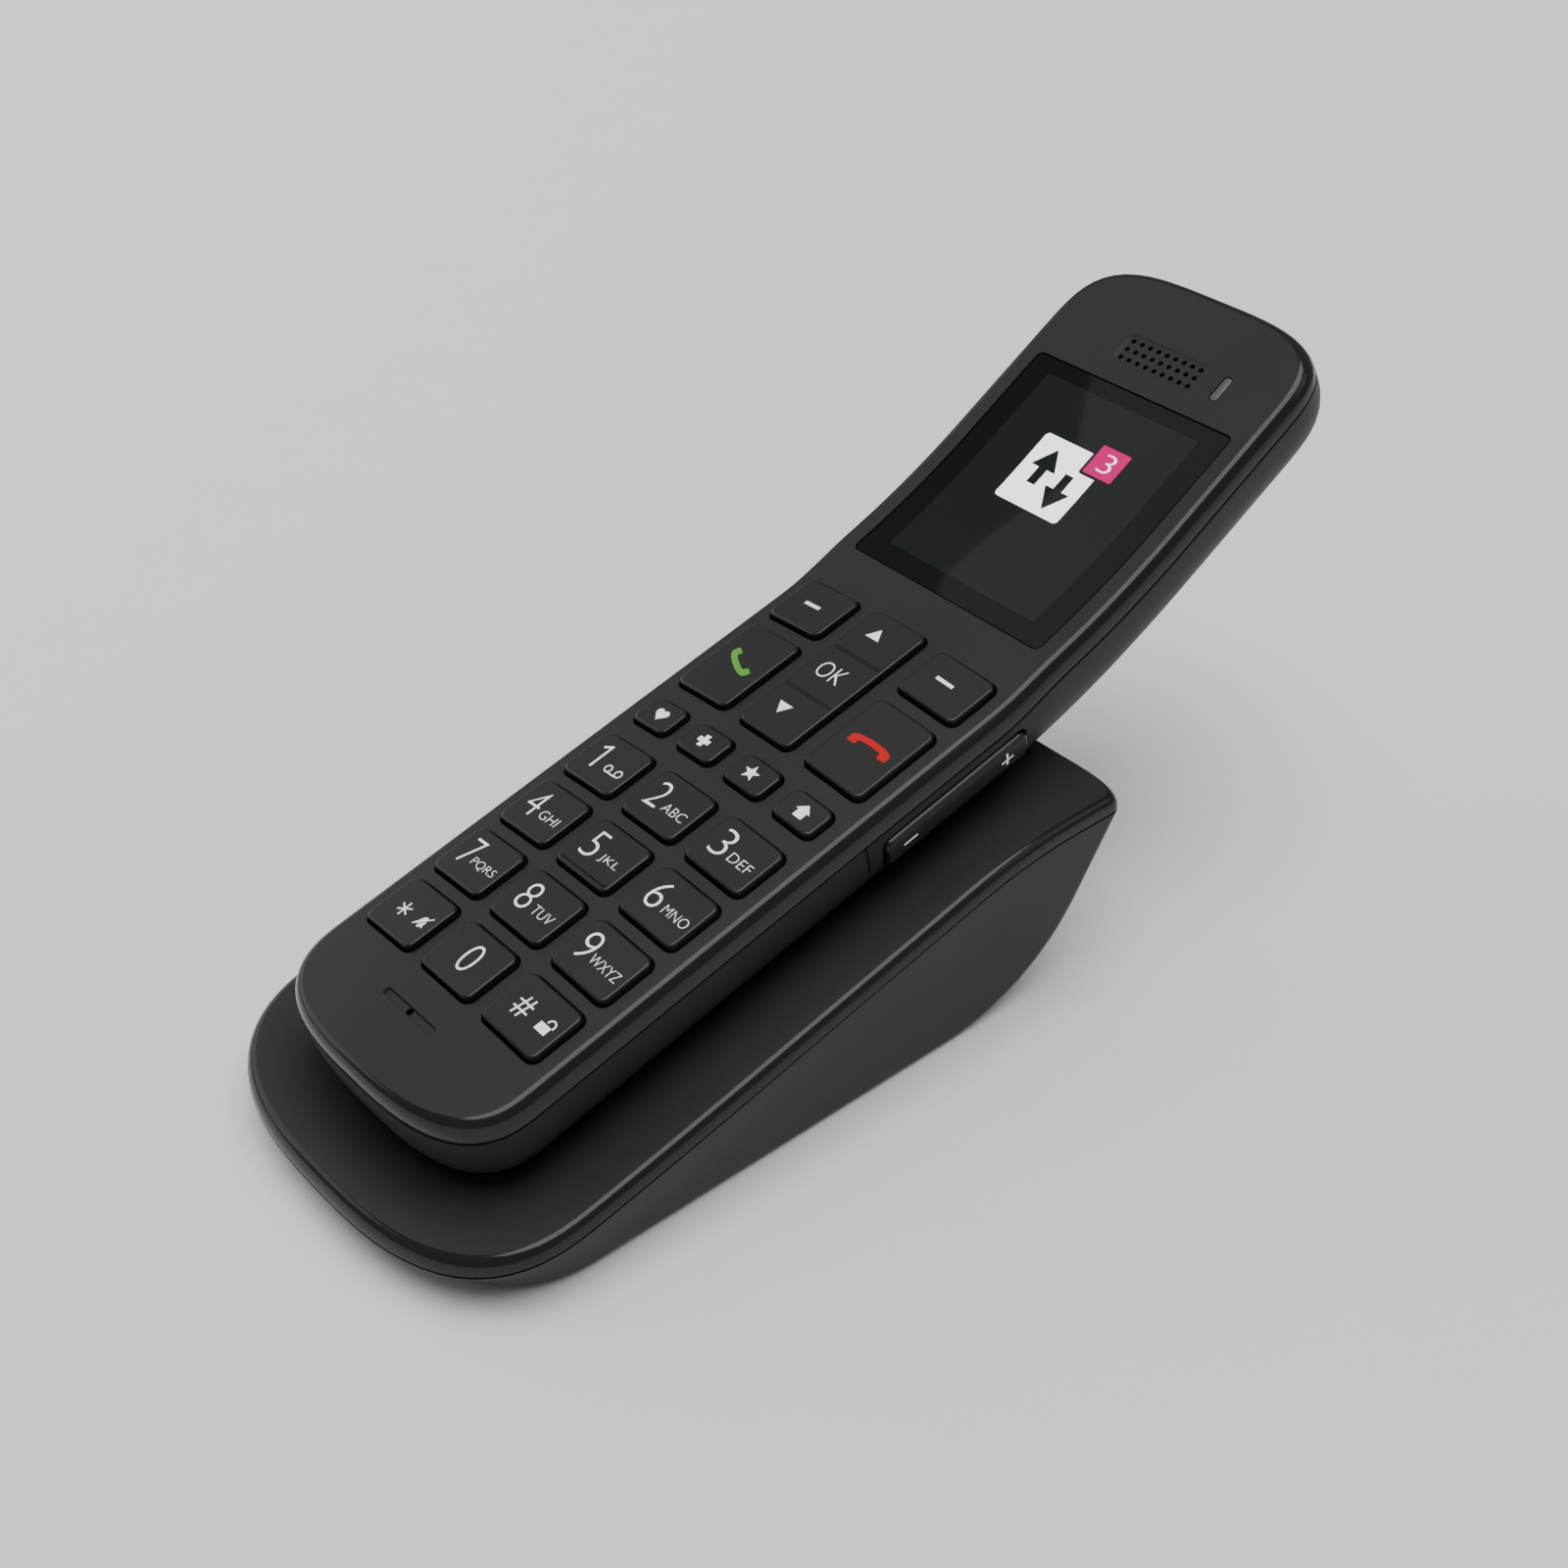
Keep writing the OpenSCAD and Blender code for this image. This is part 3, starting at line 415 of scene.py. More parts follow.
def piece(name, solid, mats, body, nodes, to, angle=32):
    """Makes and lays out one visible piece, hangs it on its body and hides the CAD parts it stands for."""
    obj = solid if isinstance(solid, bpy.types.Object) else make(name, *solid[:2], mats, solid[2])
    finish_mesh(obj, to, angle)
    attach(obj, body)
    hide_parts(*nodes)
    return obj


# --- materials -----------------------------------------------------------------------------

def material(name, color, rough, grain=2500, bump=0.1, mottle=0.12, metal=0.0, rough_spread=0.06,
             spec=0.5, emission=None):
    """Moulded or metal finish: fine grain bump, and colour and roughness that wander slowly."""
    mat = bpy.data.materials.new(name)
    mat.use_nodes = True
    nodes, links = mat.node_tree.nodes, mat.node_tree.links
    shader = nodes["Principled BSDF"]
    place = nodes.new("ShaderNodeTexCoord")
    fine = nodes.new("ShaderNodeTexNoise")
    fine.inputs["Scale"].default_value = grain
    fine.inputs["Detail"].default_value = 3
    slow = nodes.new("ShaderNodeTexNoise")
    slow.inputs["Scale"].default_value = 55
    slow.inputs["Detail"].default_value = 5
    ramp = nodes.new("ShaderNodeMix")
    ramp.data_type = "RGBA"
    dark = [c * (1 - mottle) for c in color[:3]] + [1]
    light = [c * (1 + mottle) for c in color[:3]] + [1]
    ramp.inputs["A"].default_value = dark
    ramp.inputs["B"].default_value = light
    spread = nodes.new("ShaderNodeMapRange")
    spread.inputs["To Min"].default_value = rough - rough_spread
    spread.inputs["To Max"].default_value = rough + rough_spread
    relief = nodes.new("ShaderNodeBump")
    relief.inputs["Strength"].default_value = bump
    relief.inputs["Distance"].default_value = 0.00004
    for tex in (fine, slow):
        links.new(place.outputs["Object"], tex.inputs["Vector"])
    links.new(slow.outputs["Fac"], ramp.inputs["Factor"])
    links.new(ramp.outputs["Result"], shader.inputs["Base Color"])
    links.new(slow.outputs["Fac"], spread.inputs["Value"])
    links.new(spread.outputs["Result"], shader.inputs["Roughness"])
    links.new(fine.outputs["Fac"], relief.inputs["Height"])
    links.new(relief.outputs["Normal"], shader.inputs["Normal"])
    shader.inputs["Metallic"].default_value = metal
    shader.inputs["Specular IOR Level"].default_value = spec
    if emission:
        shader.inputs["Emission Color"].default_value = (*emission[:3], 1)
        shader.inputs["Emission Strength"].default_value = emission[3]
    return mat


SHELL = material("shell_satin", (0.0290, 0.0285, 0.0278), 0.48, bump=0.08, spec=0.13)
GLOSS = material("edge_gloss", (0.0130, 0.0128, 0.0125), 0.13, bump=0.01, rough_spread=0.01, spec=0.3)
# Much darker than the shell: painted shade on the walls of holes, slots and recesses and on the shells'
# insides; it is also the battery bay's and the power socket's own black.
INNER_SHADE = material("shell_inner_shade", (0.008, 0.008, 0.008), 0.45, bump=0.05, spec=0.3)
KEYTOP = material("key_satin", (0.0250, 0.0248, 0.0246), 0.44, bump=0.06, spec=0.14)
KEYSIDE = material("key_side_gloss", (0.009, 0.009, 0.009), 0.3, bump=0.0, spec=0.35)
# The white print also glows faintly: painted light that makes it brighter than its lit colour.
WHITE = material("legend_white_glow", (0.97, 0.97, 0.97), 0.45, bump=0.03, mottle=0.005, emission=(1, 1, 1, 0.25))
GREEN = material("legend_green", (0.085, 0.37, 0.03), 0.45, bump=0.03, mottle=0.03)
RED = material("legend_red", (0.60, 0.002, 0.004), 0.45, bump=0.03, mottle=0.03, spec=0.2)
LENS = material("lens_black", (0.003, 0.003, 0.003), 0.03, bump=0.0, rough_spread=0.005, spec=0.4)
SCREEN = material("screen_slate", (0.003, 0.003, 0.003), 0.03, bump=0.0, rough_spread=0.005, spec=0.4,
                  emission=(0.0085, 0.0112, 0.0130, 1.0))
LIT = material("screen_white", (0.9, 0.9, 0.9), 0.1, bump=0.0, mottle=0.01, spec=0.4, emission=(1, 1, 1, 1.2))
MAGENTA = material("screen_magenta", (0.66, 0.001, 0.17), 0.1, bump=0.0, mottle=0.02, spec=0.2,
                   emission=(0.9, 0.0, 0.24, 0.12))
STEEL = material("steel", (0.55, 0.56, 0.58), 0.28, metal=1.0, bump=0.05)
GOLD = material("gold_flash", (0.78, 0.56, 0.25), 0.25, metal=1.0, bump=0.05)
BOARD = material("board_green", (0.02, 0.11, 0.04), 0.35, bump=0.1)
RUBBER = material("rubber", (0.014, 0.014, 0.014), 0.75, bump=0.3)
SILICONE = material("silicone", (0.5, 0.5, 0.48), 0.6)
FELT = material("felt", (0.006, 0.006, 0.006), 0.95, grain=4000, bump=0.6, spec=0.1)
CELL = material("cell_sleeve", (0.05, 0.22, 0.12), 0.35)
PIPE = material("light_pipe", (0.085, 0.085, 0.085), 0.3, bump=0.04)

BODY_OF_SLOT = {"shell_black": SHELL, "key_black": KEYTOP, "bay_black": INNER_SHADE, "lens_black": LENS,
                "display": LENS, "board_green": BOARD, "steel": STEEL, "felt": FELT, "light_pipe": PIPE,
                "silicone": SILICONE, "cell": CELL, "gold": GOLD, "rubber": RUBBER}
for part in frame["record"]["subparts"]:
    node_obj = frame["nodes"][part["node"]]
    node_obj.data.materials.clear()
    node_obj.data.materials.append(BODY_OF_SLOT[part["material_slot"]])


# --- handset shells ------------------------------------------------------------------------

# The third slot is the darker inner colour, painted shade on cut walls and insides.
HAND = [SHELL, GLOSS, INNER_SHADE]


def face_outline(inset):
    return half_outline(HALF_W - inset, inset, LENGTH - inset, (HALF_W - inset, LOW_ROUND - inset),
                        (HALF_W - inset, HIGH_ROUND - inset), FACE_POWERS, 64)


def face_ring(inset, h):
    return ring_of(face_outline(inset), lambda x, s: h)


def crown_ring(f, inset, h):
    return ring_of([(x * f, mix(clamp(s, 20, 155), s, f)) for x, s in face_outline(inset)], lambda x, s: h)


def even_plate(w, s0, s1, r, h0, h1, mat):
    """A plate with enough rows along s to follow the bend."""
    half = half_outline(w / 2, s0, s1, (r, r), (r, r), (2, 2), 40, 6)
    right = [(0, s0), (w / 2 - r, s0)] + half[1:-1] + [(w / 2 - r, s1), (0, s1)]
    rings = [ring_of(right, lambda x, s, level=h: level) for h in (h1, h0)]
    return loft(rings, [mat], (mat, mat))


PITCH, ROWS = 13.9, (21.5, 33.25, 45.0, 56.75)
NUMBER, SMALL, SOFT, HOOK, NAV = (11.0, 9.1), (7.35, 5.4), (11.0, 9.2), (11.05, 15.3), (10.5, 27.9)
SIDE_X, SMALL_S, SOFT_S, HOOK_S, NAV_S = 14.05, 67.9, 97.1, 82.0, 88.2
KEYS = {"key_asterisk": (-PITCH, ROWS[0], NUMBER), "key_0": (0, ROWS[0], NUMBER),
        "key_hash": (PITCH, ROWS[0], NUMBER)}
for row, digits in ((1, "789"), (2, "456"), (3, "123")):
    for col, digit in enumerate(digits):
        KEYS["key_" + digit] = ((col - 1) * PITCH, ROWS[row], NUMBER)
for name, key_x in (("key_heart", -15.5), ("key_plus", -5.2), ("key_star", 5.2), ("key_home", 15.5)):
    KEYS[name] = (key_x, SMALL_S, SMALL)
for name, side, key_s, size in (("soft_key_left", -1, SOFT_S, SOFT), ("soft_key_right", 1, SOFT_S, SOFT),
                                ("call_key", -1, HOOK_S, HOOK), ("end_key", 1, HOOK_S, HOOK)):
    KEYS[name] = (side * SIDE_X, key_s, size)
KEYS["nav_key"] = (0, NAV_S, NAV)
MIC_S, GRILLE_S, LED_X = 11.2, 160.7, 11.85
GRILLE_PITCH = (1.67, 1.63)
LENS_W, LENS_L, LENS_MID = 38.5, 44.0, 132.2


# The hole's walls take the darker inner colour, painted shade in the gap round the key.
def key_hole(x, s, size):
    w, l, r = size[0] + 2 * KEY_GAP, size[1] + 2 * KEY_GAP, KEY_R + KEY_GAP
    wide = rect(x, s, w + 0.3, l + 0.3, r + 0.15)
    return stack([(rect(x, s, w, l, r), -3), (rect(x, s, w, l, r), -0.15), (wide, 0), (wide, 2)], 2, 2, 2)


def seam_rings(low):
    """The outer side of the face, from its middle out over the glossy edge to the seam."""
    rings = [crown_ring(f, BEVEL_IN, 0) for f in (0.04, 0.15, 0.3, 0.45, 0.6, 0.75, 0.88, 0.97)]
    for q in (90, 82, 72, 61, 49, 36, 22, 10, 0):
        a = math.radians(q)
        rings.append(face_ring(BEVEL_IN * (1 - math.cos(a)), -BEVEL_H * (1 - math.sin(a))))
    return rings + [face_ring(0.1, low)]


low = -SEAM + GAP / 2
# Eight satin bands over the face, nine glossy ones round its edge, and eight inside.
solid = loft(seam_rings(low)
             + [face_ring(FACE_WALL, low), face_ring(FACE_WALL, -2.8), face_ring(FACE_WALL + 0.3, -2.1),
                face_ring(FACE_WALL + 1.2, -FACE_WALL)]
             + [crown_ring(f, FACE_WALL + 1.2, -FACE_WALL) for f in (0.97, 0.75, 0.45, 0.15)],
             [0] * 8 + [1] * 9 + [2] * 8, (0, 2))
front = make("front_shell_look", *solid[:2], HAND, solid[2])
mic_edge = rect(0, MIC_S, 11.4, 1.3, 0.6)
mic_slot = stack([(rect(0, MIC_S, 11.1, 1.0, 0.45), -0.4), (mic_edge, 0), (mic_edge, 1)])
lens_seat = even_plate(LENS_W + 0.3, LENS_MID - LENS_L / 2 - 0.15, LENS_MID + LENS_L / 2 + 0.15, 1.15,
                       -1.03, 1.5, 2)
grille_dip = stack([(rect(0, GRILLE_S, 15.0, 4.6, 1.0), -0.26), (rect(0, GRILLE_S, 16.2, 5.6, 1.5), -0.02),
                    (rect(0, GRILLE_S, 16.4, 5.8, 1.6), 0.5)])
lamp_hole = rect(LED_X, GRILLE_S, 1.45, 4.7, 0.7)
lamp_edge = rect(LED_X, GRILLE_S, 1.75, 5.0, 0.85)
lamp_slot = stack([(lamp_hole, -3), (lamp_hole, -0.1), (lamp_edge, 0.1), (lamp_edge, 1)], 2, 2, 2)
# The cut walls take the cutters' third slot, the darker inner colour painted as shade.
cut(front, join(*[key_hole(*k) for k in KEYS.values()], mic_slot, lens_seat, grille_dip, lamp_slot))
grille_holes = [lathe(i * GRILLE_PITCH[0], GRILLE_S + j * GRILLE_PITCH[1], [(0.42, -3), (0.42, 1)], 16, 2)
                for i in range(-4, 5) for j in (-1, 0, 1)]
cut(front, join(lathe(0, MIC_S, [(0.55, -3), (0.55, 1)], 20, 2), *grille_holes))
piece("front_shell_look", front, HAND, "handset", ["front_shell"], bent)


def back_ring(q, inset, lift):
    """A level of the back bowl: q is 0 degrees at the seam and 90 at its deepest point."""
    a = math.radians(q)
    c, d = math.cos(a) ** (2 / BACK_POW), math.sin(a) ** (2 / BACK_POW)
    half = (HALF_W - inset) * c
    outline = half_outline(half, inset + LOW_BOAT * (1 - c), LENGTH - inset - HIGH_BOAT * (1 - c),
                           (half, (LOW_ROUND - inset) * c), (half, (HIGH_ROUND - inset) * c), FACE_POWERS, 64)
    return ring_of(outline, lambda x, s: lift - SEAM
                   - (mix(BACK, BACK_TOP, smooth((s - BACK_FADE_FROM) / BACK_FADE_LEN)) - inset) * d)


QUARTER = (0, 4, 9, 15, 22, 29, 36, 43, 50, 57, 63, 69, 74, 79, 84, 88)
rings = [back_ring(q, WALL, 0 if q else -GAP / 2) for q in QUARTER[::-1]]
rings += [back_ring(0, 0.1, -GAP / 2)] + [back_ring(q, 0, 0 if q else -GAP / 2 - 0.1) for q in QUARTER]
bowl = loft(rings, [2] * (len(QUARTER) + 1) + [0] * (len(QUARTER) - 1), (2, 0))


def side_block(outline, x0, x1, mat):
    """A solid whose outline is given in (s, h), running from x0 to x1."""
    return turned(slab(outline, x0, x1, mat), lambda a, b, c: (c, a, b))


ROCKER_MID, ROCKER_H = 88.1, (-11.5, -6.3)
WINDOW_H, WINDOW_SIZE, WINDOW_R = -8.2, (28.3, 6.54), 1.6
PAD_X, PAD_S, RINGER_S = 7.0, 77.0, 150.0
cover = make("battery_cover_look", *bowl[:2], HAND, bowl[2])
cut(cover, box(-60, 60, -20, COVER_LEN - GAP / 2, -60, 60, 0), "INTERSECT")
piece("battery_cover_look", cover, HAND, "cover", ["battery_cover"], bent)

rear = make("back_shell_look", *bowl[:2], HAND, bowl[2])
cut(rear, box(-60, 60, COVER_LEN + GAP / 2, 260, -60, 60, 0), "INTERSECT")
pad_holes = [lathe(side * PAD_X, PAD_S, [(2.5, -22), (2.5, -14)], 32, 2) for side in (-1, 1)]
ringer_slots = [slab(rect(i * 2.4, RINGER_S, 1.1, 8 - abs(i), 0.5), -25, -12, 2) for i in range(-2, 3)]
# bent() lowers the rocker's window and makes it shorter, so it ends up centred on the rocker.
window = side_block(rect(ROCKER_MID, WINDOW_H, *WINDOW_SIZE, WINDOW_R), 17.4, 28, 2)
cut(rear, join(window, *pad_holes, *ringer_slots))
piece("back_shell_look", rear, HAND, "handset", ["back_shell"], bent)

# --- rocker --------------------------------------------------------------------------------

ROCKER_W, ROCKER_CORNER, ROCKER_DEEP = 27.6, 1.3, 21.0
ROCKER_OUT, ROCKER_CREST, ROCKER_FALL = 24.02, -7.2, (0.055, 0.25)
ROCKER_H0 = (ROCKER_H[0] + ROCKER_H[1]) / 2


def rocker_side(h, out):
    """Where the rocker's outer side stands at h: it falls away on both sides of its crest."""
    below, above = max(0, ROCKER_CREST - h), max(0, h - ROCKER_CREST)
    return ROCKER_OUT - ROCKER_FALL[0] * below ** 2 - ROCKER_FALL[1] * above ** 2 + out


def rocker_ring(inset, out, deep=None):
    corner = (ROCKER_CORNER - inset / 2,) * 2
    half = half_outline(ROCKER_W / 2 - inset, ROCKER_H[0] + inset, ROCKER_H[1] - inset, corner, corner,
                        (2, 2), 10, 6)
    flat = ROCKER_W / 2 - ROCKER_CORNER - inset / 2
    half = [(0, half[0][1]), (flat, half[0][1])] + half[1:-1] + [(flat, half[-1][1]), (0, half[-1][1])]
    return [(deep if deep else rocker_side(h, out), ROCKER_MID + a, h)
            for a, h, _ in ring_of(half, lambda x, s: 0)]


MARKS = [KEYTOP, KEYSIDE, WHITE, GREEN, RED]
solid = loft([rocker_ring(0.55, 0.0), rocker_ring(0.3, -0.07), rocker_ring(0.12, -0.2), rocker_ring(0, -0.45),
              rocker_ring(0, 0, ROCKER_DEEP)], [0, 1, 1, 1], (0, 1))


def on_rocker(flat):
    """Lays a mark drawn in (s, h) from the rocker's middle on its outer side."""
    return turned(flat, lambda a, b, c: (rocker_side(b + ROCKER_H0, c), a + ROCKER_MID, b + ROCKER_H0))


marks = [on_rocker(bar((8.6, 0.2), (10.8, 0.2), 0.3, mat=2)),
         on_rocker(bar((-10.8, 0.2), (-8.2, 0.2), 0.3, mat=2))]
marks += [on_rocker(bar((9.7, -0.9 + 0.4 * k), (9.7, -0.5 + 0.4 * k), 0.3, 0.0, 0.024, mat=2))
          for k in range(6)]
piece("volume_rocker_look", join(solid, *marks), MARKS, "rocker", ["volume_rocker"], plain)

# --- keys ----------------------------------------------------------------------------------

TOP = KEY_LIFT
CAP_FOOT, LIP_H = -2.05, (-2.6, -2.0)
NAV_BASE = 88


def key_solid(x, s, size, flange=0.5, flange_l=None):
    """A key's cap with a soft upper edge, and the flange that holds it under the shell."""
    w, l = size
    fl = (w + 2 * flange, (flange_l or l) + 2 * flange)
    levels = [(rect(x, s, w, l, KEY_R, 8), h) for h in (CAP_FOOT, TOP - 0.28)]
    for inset, drop in ((0.03, 0.17), (0.1, 0.08), (0.2, 0.02), (0.3, 0.0)):
        levels.append((rect(x, s, w - 2 * inset, l - 2 * inset, KEY_R - inset / 2, 8), TOP - drop))
    return stack(levels, 1, 0, 1), slab(rect(x, s, *fl, KEY_R, 8), *LIP_H, 1)


def digit(text, x, s, w=2.5, h=4.7):
    """A key's digit around (x, s)."""
    return lettering(text, x - w / 2, s - h / 2, w, h, TOP, TOP + INK_H, 2)


def letters(text, x0, x1, base=-1.4, tall=1.6):
    """A key's letters from x0 to x1."""
    return lettering(text, x0, base, x1 - x0, tall, TOP, TOP + INK_H, 2)


def raise_(solid):
    """Lifts a mark onto the key's top."""
    return moved(solid, 0, 0, TOP)


def heart():
    pts = []
    for i in range(40):
        a = 2 * math.pi * i / 40
        pts.append((16 * math.sin(a) ** 3 / 12.5,
                    (13 * math.cos(a) - 5 * math.cos(2 * a) - 2 * math.cos(3 * a) - math.cos(4 * a)) / 12.5))
    return shape([(x + 0.18, y + 0.1) for x, y in pts], mat=2)


def plus():
    a, b = 0.42, 1.15
    corners = ((-a, -b), (a, -b), (a, -a), (b, -a), (b, a), (a, a), (a, b), (-a, b), (-a, a), (-b, a),
               (-b, -a), (-a, -a))
    return shape([(x - 0.3, y + 0.15) for x, y in corners], mat=2)


def star():
    pts = []
    for i in range(10):
        r, a = (1.45, 0.62)[i % 2], math.radians(90 + 36 * i)
        pts.append((r * math.cos(a) - 0.4, r * math.sin(a) + 0.1))
    return shape(pts, mat=2)


def house():
    return shape([(-0.75, -1.2), (0.85, -1.2), (0.85, 0.05), (1.35, 0.05), (0.05, 1.35), (-1.25, 0.05),
                  (-0.75, 0.05)], mat=2)


HALF_GRIP = [(0, 0.95), (1.3, 0.9), (2.5, 0.75), (3.35, 0.5), (3.85, 0.15), (4.0, -0.3), (4.0, -1.2),
             (3.85, -1.35), (2.45, -1.35), (2.3, -1.2), (2.25, -0.4), (1.2, -0.22), (0, -0.18)]


def receiver(turn, x, s, size, mat):
    """A telephone receiver: a grip with an ear piece and a mouth piece at its ends."""
    pts = HALF_GRIP + [(-u, v) for u, v in HALF_GRIP[-2:0:-1]]
    ca, sa = math.cos(math.radians(turn)), math.sin(math.radians(turn))
    return shape([(x + (u * ca - v * sa) * size, s + (u * sa + v * ca) * size) for u, v in pts], mat=mat)


def bell():
    """A leaning bell, crossed out."""
    pts = [(-1.0, -0.75), (-0.72, -0.4), (-0.62, 0.2), (-0.42, 0.7), (0, 0.95), (0.42, 0.7), (0.62, 0.2),
           (0.72, -0.4), (1.0, -0.75)]
    dot = [(0.26 * math.cos(math.radians(a)), -0.85 + 0.24 * math.sin(math.radians(a)))
           for a in range(180, 361, 20)]
    lean = [(3.15 + x * 0.98 + y * 0.17, -0.2 + y * 0.98 - x * 0.17) for x, y in pts]
    ball = [(3.15 + x, -0.2 + y) for x, y in dot]
    return join(shape(lean, mat=2), shape(ball, mat=2),
                bar((1.95, -1.25), (4.35, 1.05), 0.2, 0, 0.024, mat=2),
                bar((2.1, -1.42), (4.5, 0.88), 0.16, 0, 0.03, mat=0))


def padlock():
    return join(shape([(1.75, -1.05), (3.75, -1.05), (3.75, 0.35), (1.75, 0.35)], mat=2),
                arc(3.3, 0.75, 0.62, -10, 190, 0.24, mat=2), bar((3.92, 0.3), (3.92, 0.78), 0.24, mat=2))


def voicemail():
    return join(arc(1.05, -0.75, 0.62, 0, 360, 0.22, mat=2), arc(3.35, -0.75, 0.62, 0, 360, 0.22, mat=2),
                bar((1.05, -1.37), (3.35, -1.37), 0.22, mat=2))


def hash_mark():
    x, s = -1.75, 0.1
    return join(*[bar((x + d - 0.28, s - 1.7), (x + d + 0.28, s + 1.7), 0.27, 0, INK_H + 0.001 * k, mat=2)
                  for k, d in enumerate((-0.5, 0.5))],
                *[bar((x - 1.35, s + d), (x + 1.35, s + d), 0.27, 0, 0.024 + 0.001 * k, mat=2)
                  for k, d in enumerate((-0.6, 0.6))])


def asterisk():
    x, s, reach = -1.25, -0.35, 1.25
    strokes = []
    for k, a in enumerate((30, 90, 150)):
        dx, dy = reach * math.cos(math.radians(a)), reach * math.sin(math.radians(a))
        strokes.append(bar((x - dx, s - dy), (x + dx, s + dy), 0.24, 0, INK_H + 0.001 * k, mat=2))
    return join(*strokes)


INK = {
    "key_1": [raise_(shape([(-2.15, -2.0), (-1.75, -2.0), (-1.75, 2.7), (-2.08, 2.7), (-3.3, 1.95),
                            (-3.1, 1.6), (-2.15, 2.15)], mat=2)), raise_(voicemail())],
    "key_2": [digit("2", -2.4, 0.4), letters("ABC", -0.2, 4.2)],
    "key_3": [digit("3", -2.4, 0.4), letters("DEF", -0.1, 4.0)],
    "key_4": [digit("4", -2.4, 0.4, 2.7), letters("GHI", 0.0, 3.9)],
    "key_5": [digit("5", -2.4, 0.4), letters("JKL", 0.0, 3.7),
              bar((-4.8, -3.55), (4.8, -3.55), 0.42, TOP - 0.1, TOP + 0.28)],
    "key_6": [digit("6", -2.4, 0.4), letters("MNO", -0.1, 4.5)],
    "key_7": [digit("7", -2.4, 0.4, 2.4), letters("PQRS", -0.8, 4.4)],
    "key_8": [digit("8", -2.3, 0.4), letters("TUV", 0.0, 4.0)],
    "key_9": [digit("9", -2.9, 0.4), letters("WXYZ", -1.2, 4.3)],
    "key_0": [digit("0", 0.2, 0.2, 2.5)],
    "key_asterisk": [raise_(asterisk()), raise_(bell())],
    "key_hash": [raise_(hash_mark()), raise_(padlock())],
    "key_heart": [raise_(heart())], "key_plus": [raise_(plus())], "key_star": [raise_(star())],
    "key_home": [raise_(house())],
    "soft_key_left": [raise_(bar((-2.0, 0.1), (1.2, 0.1), 0.62, mat=2))],
    "soft_key_right": [raise_(bar((-2.2, 0.35), (1.0, 0.35), 0.62, mat=2))],
    "call_key": [raise_(receiver(152, -0.15, 0.0, 0.84, 3))],
    "end_key": [raise_(receiver(2, 0.0, 0.35, 0.9, 4))],
    "nav_key": [raise_(shape([(-2.6, 8.9), (0.05, 8.9), (-1.25, 11.05)], mat=2)),
                raise_(shape([(-2.6, -7.85), (0.05, -7.85), (-1.25, -9.95)], mat=2)),
                lettering("OK", -3.2, -1.2, 4.9, 3.1, TOP, TOP + INK_H, 2)]
               + [bar((-4.7, s), (4.7, s), 0.16, TOP - 0.05, TOP + 0.07, 1) for s in (-5.0, -4.6, 4.6, 5.0)],
}
for name, (key_x, key_s, size) in KEYS.items():
    nav = name == "nav_key"
    cap, lip = key_solid(key_x, key_s, size, 0.5, 7.0 if nav else None)
    if nav:
        lip = moved(lip, 0, 0, 0.2)
    ink = [moved(part, key_x, key_s) for part in INK[name]]
    body = "nav_bar" if nav else name + "_body"
    to = on_key(key_x, min(key_s, NAV_BASE))
    piece(name + "_look", join(cap, lip, *ink), MARKS, body, [name], to)

# --- display, lamp and pads ----------------------------------------------------------------

lens_edge = rect(0, LENS_MID, LENS_W, LENS_L, 1.0)
glass = stack([(lens_edge, -1.0), (lens_edge, -0.18),
               (rect(0, LENS_MID, LENS_W - 0.24, LENS_L - 0.24, 0.9), -0.06)])
glass = rows(make("display_lens_look", *glass[:2], [LENS], glass[2]), 111, 138, 1.0)
piece("display_lens_look", glass, [LENS], "handset", ["display_lens"], bent, 20)


def arrow(x, s, up):
    pts = [(-0.82, -3.4), (0.82, -3.4), (0.82, -0.35), (2.4, -0.35), (0.0, 3.5), (-2.4, -0.35),
           (-0.82, -0.35)]
    return shape([(x + u * up, s + v * up) for u, v in pts], -0.05, -0.02, 0)


def tablet(x, s, w, l, r, top, mat):
    return slab(rect(x, s, w, l, r), -0.05, top, mat)


BADGE_X, BADGE_S = 5.1, 141.85
shown = join(
    tablet(0, 132.65, 30.2, 37.5, 0.4, -0.045, 0), tablet(-1.15, 136.0, 12.7, 13.0, 0.7, -0.03, 1),
    arrow(-3.6, 137.1, 1), arrow(1.25, 134.2, -1), tablet(BADGE_X, BADGE_S, 6.5, 6.4, 0.5, -0.02, 0),
    tablet(BADGE_X, BADGE_S, 5.5, 5.4, 0.25, -0.01, 2),
    lettering("3", BADGE_X - 1.1, BADGE_S - 1.65, 2.3, 3.3, -0.02, 0.0, 1))
picture = rows(make("display_picture", *shown[:2], [SCREEN, LIT, MAGENTA], shown[2]), 114, 138, 1.0)
piece("display_picture", picture, [SCREEN, LIT, MAGENTA], "handset", [], bent)

lamp_rings = ((1.3, 4.55, 0.62, -4.0), (1.3, 4.55, 0.62, -0.2), (1.15, 4.4, 0.55, -0.08),
              (0.9, 4.1, 0.43, -0.04))
lamp = stack([(rect(LED_X, GRILLE_S, w, l, r, 8), h) for w, l, r, h in lamp_rings])
piece("light_pipe_look", lamp, [PIPE], "handset", ["light_pipe"], bent)
pad = [(2.48, -14.9), (2.48, -18.4), (2.4, -18.58), (2.1, -18.68), (0.9, -18.69)]
pads = join(*[lathe(side * PAD_X, PAD_S, pad[::-1], 40) for side in (-1, 1)])
piece("charge_pads_look", pads, [GOLD], "handset", ["charge_pads"], plain)

# --- base shells ---------------------------------------------------------------------------


